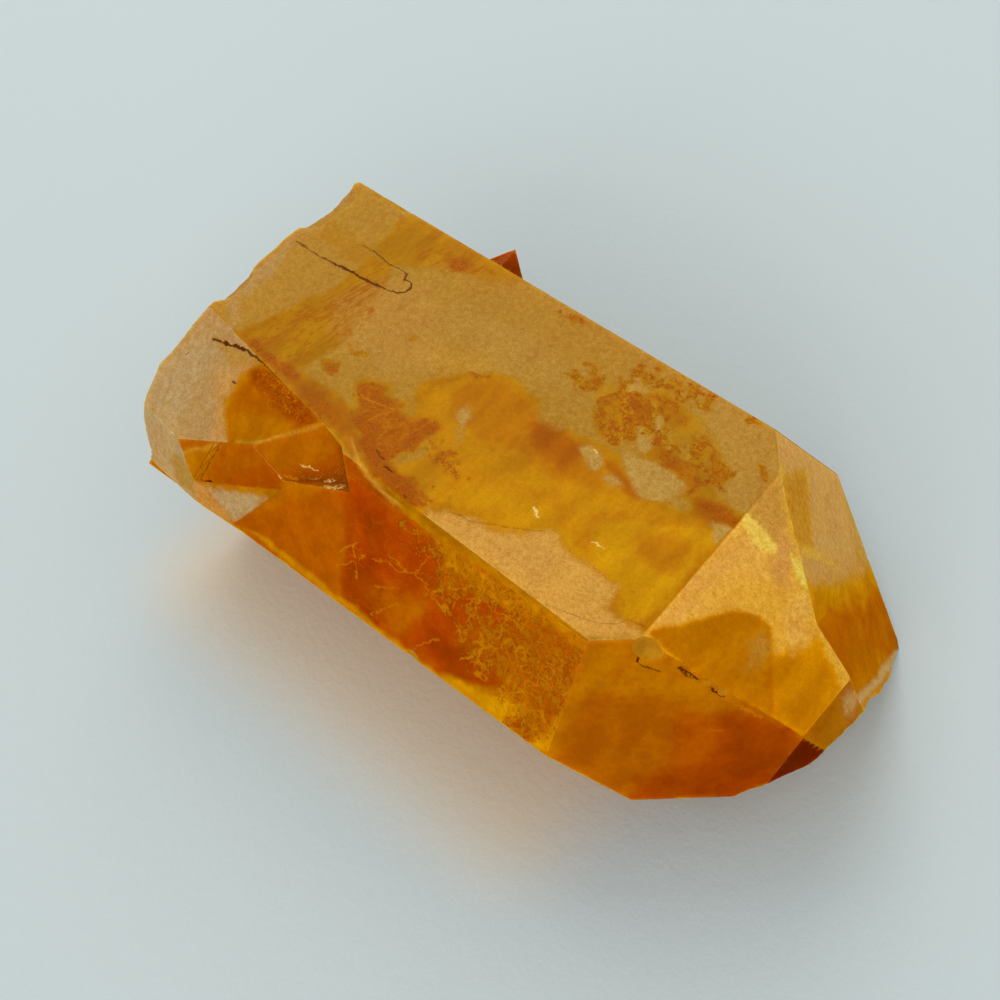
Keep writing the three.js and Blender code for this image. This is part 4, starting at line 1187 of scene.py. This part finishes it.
class Stone:
    """The crystal's colour, built up layer by layer over one set of grains."""

    def __init__(self, sheet, settings):
        self.sheet, self.settings = sheet, settings
        self.colour = sheet.add("ShaderNodeAttribute", {"attribute_name": "stone_colour"}, output=0)
        self.mm = sheet.place_mm()
        self.cloud = sheet.noise(self.mm, 0.16, 1.0, 0.55)
        self.mottle = sheet.noise(self.mm, 1.8, 2.0, 0.65)
        self.speck = sheet.noise(self.mm, 5.5, 1.0, 0.7)
        self.fray = sheet.noise(self.mm, 1.5, 3.0, 0.7)
        self.grain = sheet.noise(self.mm, 3.4, 2.0, 0.75)
        self.wild, self.broken = sheet.value("wild"), sheet.value("broken")

    def lay(self, share, tone):
        """Lays a named tone, a plain colour or a worked-out one over what is there."""
        if not isinstance(tone, Wire):
            tone = opaque(linear(tone) if isinstance(tone, str) else tone)
        self.colour = self.sheet.mix(share, self.colour, tone)

    def filter_by(self, share, tint):
        """Lets a share of the colour pass through a filter."""
        self.colour = self.sheet.mix(share, self.colour, tint, "MULTIPLY")

    def clouds(self):
        """Clouds of milk, honey and fire, on the faces without zones of their own."""
        sheet = self.sheet
        where = sheet.moved(self.mm, (2, 6, 1), (0.55, 0.3, 1.0))
        pool = sheet.noise(where, 0.13, 1.0, 0.5) + (self.mottle - 0.5) * 0.07
        self.lay(sheet.ramp(self.cloud, 0.54, 0.66) * (0.7 * self.wild), "tan")
        self.lay(sheet.ramp(pool, 0.56, 0.46) * (0.92 * self.wild), "honey")
        self.lay(sheet.ramp(pool, 0.47, 0.37) * (0.9 * self.wild), "flame")

    def tooth_and_smoke(self):
        """The frosted parts are grainy and etched; the clear golden ones have slow smoky bands."""
        sheet = self.sheet
        blue = sheet.add("ShaderNodeSeparateColor", {}, {0: self.colour}, output=2)
        frosted = sheet.ramp(blue, 0.002, 0.02)
        shade = sheet.ramp(self.mottle, 0.32, 0.7) * 0.5 + sheet.ramp(self.speck, 0.3, 0.7) * 0.5
        grainy = sheet.mix(shade, (0.84, 0.76, 0.5, 1.0), (1.13, 1.19, 1.36, 1.0))
        self.filter_by(0.6 + 0.4 * frosted, grainy)
        etched = sheet.ramp(sheet.creases(self.mm, 1.3, 0.6), 0.05, 0.01) * frosted
        self.filter_by(etched * (0.3 + 0.4 * self.broken), (0.86, 0.78, 0.66, 1.0))
        where = sheet.moved(self.mm, (3, 9, 5), (0.5, 0.16, 0.5), (0, 0, 0.3))
        smoke = sheet.ramp(sheet.noise(where, 1.0, 2.0, 0.6), 0.34, 0.66)
        self.filter_by(0.85 - 0.6 * frosted, sheet.mix(smoke, (0.90, 0.86, 0.8, 1.0), (1.13, 1.19, 1.0, 1.0)))

    def iron(self):
        """Rust with a golden halo, thin coils and a frayed, granular edge."""
        sheet = self.sheet
        lobes = sheet.noise(sheet.moved(self.mm, (5, 2, 8)), 0.75, 1.0, 0.6)
        self.rust = sheet.value("rust") + (lobes - 0.5) * 3.5
        self.filter_by(sheet.ramp(self.rust + (self.mottle - 0.5) * 1.6, -0.7, 0.0), (0.98, 0.86, 0.02, 1.0))
        coils = sheet.ramp(sheet.creases(self.mm, 2.3, 0.6), 0.055, 0.02)
        self.lay(coils * sheet.ramp(self.rust + (self.fray - 0.5) * 3.5, -0.35, -0.05) * 0.8, "umber")
        uneven = self.rust * 0.6 + (self.fray - 0.5) * 2.6 + (self.grain - 0.5) * 5.0
        patches = sheet.ramp(uneven, 0.2, 0.34)
        strays = sheet.ramp(self.fray + (self.cloud - 0.5) * 0.6, 0.64, 0.7) * (0.2 + 0.6 * self.wild)
        self.stain = sheet.most(patches, strays) * sheet.ramp(self.speck, 0.3, 0.5, 0.5, 0.95)
        thick = sheet.ramp(self.rust, 0.0, 0.4)
        self.lay(self.stain, sheet.mix(thick, opaque(linear("rust")), opaque(self.settings.stain_colour)))
        pits = self.stain * sheet.ramp(self.speck + (self.fray - 0.5) * 0.5, 0.6, 0.68)
        self.lay(pits * 0.6, "dark")

    def hairs(self):
        """Bright hairs where the stain has cracked: level lines of smooth noises, broken into lengths."""
        sheet = self.sheet
        hairy = sheet.value("hairy")
        tangle = None
        for shift, scale, thin, turn in (((0, 0, 0), 0.2, 0.010, 0.3), ((31, 7, 5), 0.3, 0.014, 1.4),
                                         ((11, 47, 23), 0.5, 0.02, 2.3)):
            where = sheet.moved(self.mm, shift, (1.0, 0.6, 1.0), (turn, turn * 0.7, turn))
            line = sheet.ramp(sheet.creases(where, scale, detail=1.0), thin, thin * 0.3)
            tangle = sheet.most(tangle, line) if tangle else line
        bed = sheet.ramp(self.rust, -0.8, 0.0, 0.15, 1.0)
        moss = sheet.ramp(self.fray + (self.grain - 0.5) * 0.8, 0.51, 0.55)
        self.lay(moss * sheet.ramp(self.rust, -0.2, 0.1) * hairy * 0.55, "honey")
        lengths = sheet.ramp(sheet.noise(self.mm, 0.45, 0.0), 0.46, 0.5)
        self.lay(tangle * lengths * bed * hairy * 0.8, self.settings.hair_colour)

    def dry_net(self):
        """A net of long dry cracks in the stain."""
        sheet = self.sheet
        turn = (0, 0, math.radians(BAND_TURN))
        along = sheet.moved(self.mm, stretch=(3.2, 0.8, 1.0), turn=turn, kind="TEXTURE")
        net = sheet.ramp(sheet.creases(along, 0.9, 0.6, 0.8), 0.045, 0.01)
        self.lay(net * sheet.value("fibres") * 0.7, "burnt")

    def line(self, name, strength, wiggle, blur):
        """The drawn lines of one kind, with ragged sides."""
        sheet = self.sheet
        width = sheet.value(name + "_width")
        ragged = sheet.ramp(self.fray, 0.3, 0.7, 0.35, 1.5)
        away = abs(sheet.value(name) + (self.mottle - 0.5) * wiggle)
        return sheet.ramp(away - width * 0.5 * ragged, blur, -blur) * strength * sheet.ramp(width, 0.0, 0.05)

    def drawn_lines(self):
        """Single bright hairs and painted highlights (glints off inner mirrors, light along edges), then the
        open cracks with dirt in them.
        """
        sheet, settings = self.sheet, self.settings
        light = sheet.value("hair_and_highlight_strength")
        # Painted highlight: the strongest lines take the pale colour of light glinting off an inner mirror.
        mirror = sheet.ramp(light, 0.84, 0.94)
        gleam = sheet.mix(mirror, opaque(settings.hair_colour), (0.9, 0.62, 0.2, 1.0))
        self.lay(self.line("hair", light, 0.8, 0.03), gleam)
        self.lay(self.line("crack", sheet.value("crack_depth"), 0.4, 0.05), settings.crack_colour)

    def rubbed_edges(self, worn):
        """Rubbed edges are lighter than the faces beside them."""
        lighter = self.sheet.mix(1.0, self.colour, (1.3, 1.4, 1.4, 1.0), "MULTIPLY")
        self.lay(worn * 0.4, lighter)


QUARTZ_INDEX = 1.544
SCATTER_SHARE, SCATTER_DEPTH, SCATTER_TINT = 0.6, 0.005, (1.0, 0.45, 0.1)
INNER_TINT, INNER_DENSITY = (0.96, 0.72, 0.10, 1.0), 90.0


def quartz_material(settings):
    """Milky tangerine quartz: see-through in part, stained with iron, without gloss."""
    material = bpy.data.materials.new("tangerine_quartz")
    material.use_nodes = True
    sheet = Sheet(material.node_tree)
    stone = Stone(sheet, settings)
    worn = sheet.value("worn")
    stone.clouds()
    stone.tooth_and_smoke()
    stone.iron()
    stone.hairs()
    stone.dry_net()
    stone.drawn_lines()
    stone.rubbed_edges(worn)
    surface = sheet.add("ShaderNodeBsdfPrincipled", {}, {
        "Base Color": stone.colour,
        "Roughness": 0.2 + 0.25 * stone.broken + 0.12 * stone.stain + 0.2 * worn,
        "IOR": QUARTZ_INDEX, "Transmission Weight": settings.clearness,
        "Specular Tint": (1.0, 0.6, 0.12, 1.0), "Specular IOR Level": 0.0,
        "Subsurface Weight": SCATTER_SHARE, "Subsurface Radius": SCATTER_TINT,
        "Subsurface Scale": SCATTER_DEPTH,
    })
    inside = sheet.add("ShaderNodeVolumeAbsorption", {}, {"Color": INNER_TINT, "Density": INNER_DENSITY})
    sheet.add("ShaderNodeOutputMaterial", {}, {"Surface": surface, "Volume": inside})
    return material


# ---- The pieces -------------------------------------------------------------------------------------

# Painted light: a warm patch painted on the paper beside the stone, for the light the stone lets through onto
# it.
PAINTED_LIGHT_SPOT_MM = (-6.0, -11.0, 0.0)       # the middle of the warm patch on the paper
PAINTED_LIGHT_HALF_MM = (20.0, 10.0, 0.0)        # and half its size, before it fades
PAINTED_LIGHT_FADE_MM = 12.0


class QUARTZ_OT_crystal(bpy.types.Operator):
    """Lay the refined, marked skin of the crystal over its solid"""

    bl_idname = "quartz.crystal"
    bl_label = "Crystal"

    def execute(self, context):
        settings = context.scene.quartz_settings
        spread = 1.0
        skin = Skin(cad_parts["quartz_crystal"], settings.fine_spacing * spread,
                    settings.plain_spacing * spread)
        smooth_breaks(skin, settings.break_grain)
        worn = wear_edges(skin, settings.edge_wear, settings.edge_chips)
        colour, marks = paint(skin, worn)
        used, faces = np.unique(skin.faces, return_inverse=True)
        mesh = bpy.data.meshes.new("quartz_point")
        places = (skin.points[used] + CENTRE_MM) / MM_PER_METRE
        mesh.from_pydata(places.tolist(), [], faces.reshape(-1, 3).tolist())
        if mesh.validate():
            raise RuntimeError("the skin has faces that aren't sound")
        mesh.polygons.foreach_set("use_smooth", np.ones(len(mesh.polygons), bool))
        tint = mesh.attributes.new("stone_colour", "FLOAT_COLOR", "POINT")
        tint.data.foreach_set("color", np.column_stack([colour[used], np.ones(len(used))]).ravel())
        for name, values in marks.items():
            layer = mesh.attributes.new(name, "FLOAT", "POINT")
            layer.data.foreach_set("value", values[used].astype(np.float32))
        mesh.materials.append(quartz_material(settings))
        mesh.update()
        piece = bpy.data.objects.new("quartz_point", mesh)
        context.scene.collection.objects.link(piece)
        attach(piece, "root")
        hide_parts("quartz_crystal")
        print("quartz_point", len(mesh.vertices), "points", len(mesh.polygons), "triangles")
        return {"FINISHED"}


class QUARTZ_OT_studio(bpy.types.Operator):
    """Set the paper, the light and the camera"""

    bl_idname = "quartz.studio"
    bl_label = "Studio"

    def execute(self, context):
        scene = context.scene
        studio = scene.studio_settings
        paper(scene, studio)
        room(scene, studio)
        camera(scene)
        scene.view_settings.view_transform = "Standard"
        return {"FINISHED"}


def paper_material(studio):
    """White paper with a fine tooth, and a warm patch of painted light beside the stone."""
    material = bpy.data.materials.new("white_paper")
    material.use_nodes = True
    sheet = Sheet(material.node_tree)
    mm = sheet.place_mm()
    tooth = sheet.noise(mm, 1.6, 2.0, 0.6) * 0.6 + sheet.noise(mm, 0.5, 1.0) * 0.6
    bump = sheet.add("ShaderNodeBump", {}, {"Strength": 0.5, "Distance": 0.00012, "Height": tooth})
    away = sheet.vector("SUBTRACT", mm, PAINTED_LIGHT_SPOT_MM)
    away = sheet.add("ShaderNodeVectorMath", {"operation": "ABSOLUTE"}, {0: away})
    away = sheet.vector("MAXIMUM", sheet.vector("SUBTRACT", away, PAINTED_LIGHT_HALF_MM), (0.0, 0.0, 0.0))
    gap = sheet.add("ShaderNodeVectorMath", {"operation": "LENGTH"}, {0: away}, output=1)
    # Painted light: the paper is tinted warm round that box.
    tint = sheet.mix(sheet.ramp(gap, PAINTED_LIGHT_FADE_MM, 0.0), opaque(studio.paper_colour), (0.62, 0.56, 0.44, 1.0))
    surface = sheet.add("ShaderNodeBsdfPrincipled", {}, {
        "Base Color": tint, "Roughness": 0.9, "Normal": bump, "Specular IOR Level": 0.2})
    sheet.add("ShaderNodeOutputMaterial", {}, {"Surface": surface})
    return material


def paper(scene, studio):
    """A square sheet of pale paper under the crystal."""
    half = studio.paper_size / 2
    mesh = bpy.data.meshes.new("paper")
    mesh.from_pydata([(-half, -half, 0), (half, -half, 0), (half, half, 0), (-half, half, 0)], [],
                     [(0, 1, 2, 3)])
    mesh.materials.append(paper_material(studio))
    floor = bpy.data.objects.new("paper", mesh)
    scene.collection.objects.link(floor)
    floor.visible_glossy = False
    floor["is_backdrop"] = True


def room(scene, studio):
    """Even light from the room, a soft window above and behind the crystal and a broader light in front."""
    world = bpy.data.worlds.new("room")
    world.use_nodes = True
    sheet = Sheet(world.node_tree)
    way = sheet.add("ShaderNodeTexCoord", output=0)
    up = sheet.add("ShaderNodeSeparateXYZ", {}, {0: way}, output=2)
    tone = sheet.mix(sheet.ramp(up, -0.1, 0.9), (0.72, 0.80, 0.82, 1), (1.0, 1.0, 1.0, 1))
    glow = sheet.add("ShaderNodeBackground", {}, {"Color": tone, "Strength": studio.sky})
    sheet.add("ShaderNodeOutputWorld", {}, {"Surface": glow})
    scene.world = world
    world.cycles_visibility.glossy = False
    lamp("window", (-0.34, 0.34, 0.5), 0.6, studio.window, scene)
    lamp("fill", (0.5, -1.1, 0.4), 1.2, studio.fill, scene)


def lamp(name, place, side, power, scene):
    """A square, soft lamp that faces the crystal."""
    light = bpy.data.lights.new(name, "AREA")
    light.shape, light.size, light.energy = "SQUARE", side, power
    light.color = (1.0, 0.985, 0.96)
    item = bpy.data.objects.new(name, light)
    item.location = place
    item.rotation_euler = (Vector((0, 0, 0.01)) - Vector(place)).to_track_quat("-Z", "Y").to_euler()
    scene.collection.objects.link(item)


def camera(scene):
    """A close, slightly steep view from the tip's front side."""
    lens = bpy.data.cameras.new("camera")
    lens.sensor_width, lens.lens, lens.clip_start = SENSOR_MM, LENS_MM, 0.005
    item = bpy.data.objects.new("camera", lens)
    turn = Matrix((EYE_RIGHT, -EYE_DOWN, -EYE_AHEAD)).transposed().to_4x4()
    item.matrix_world = Matrix.Translation(Vector((EYE_MM + CENTRE_MM) / MM_PER_METRE)) @ turn
    scene.collection.objects.link(item)
    scene.camera = item


class QUARTZ_PT_panel(bpy.types.Panel):
    """The crystal's pieces and sizes"""

    bl_idname = "QUARTZ_PT_panel"
    bl_label = "Tangerine Quartz"
    bl_space_type = "VIEW_3D"
    bl_region_type = "UI"
    bl_category = "Quartz"

    def draw(self, context):
        for settings in (context.scene.quartz_settings, context.scene.studio_settings):
            for name in settings.__annotations__:
                self.layout.prop(settings, name)
        for operator in OPERATORS:
            self.layout.operator(operator.bl_idname)


OPERATORS = (QUARTZ_OT_crystal, QUARTZ_OT_studio)
CLASSES = (QuartzSettings, StudioSettings, *OPERATORS, QUARTZ_PT_panel)


def register():
    for item in CLASSES:
        bpy.utils.register_class(item)
    bpy.types.Scene.quartz_settings = bpy.props.PointerProperty(type=QuartzSettings)
    bpy.types.Scene.studio_settings = bpy.props.PointerProperty(type=StudioSettings)


def unregister():
    del bpy.types.Scene.quartz_settings
    del bpy.types.Scene.studio_settings
    for item in reversed(CLASSES):
        bpy.utils.unregister_class(item)


def plain(box):
    return [[round(float(v), 6) for v in corner] for corner in box]


def main():
    register()
    bpy.ops.quartz.crystal()
    bpy.ops.quartz.studio()
    {"cad": plain(CAD_BOX), "visual": plain(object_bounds())}


if __name__ == "__main__":
    main()
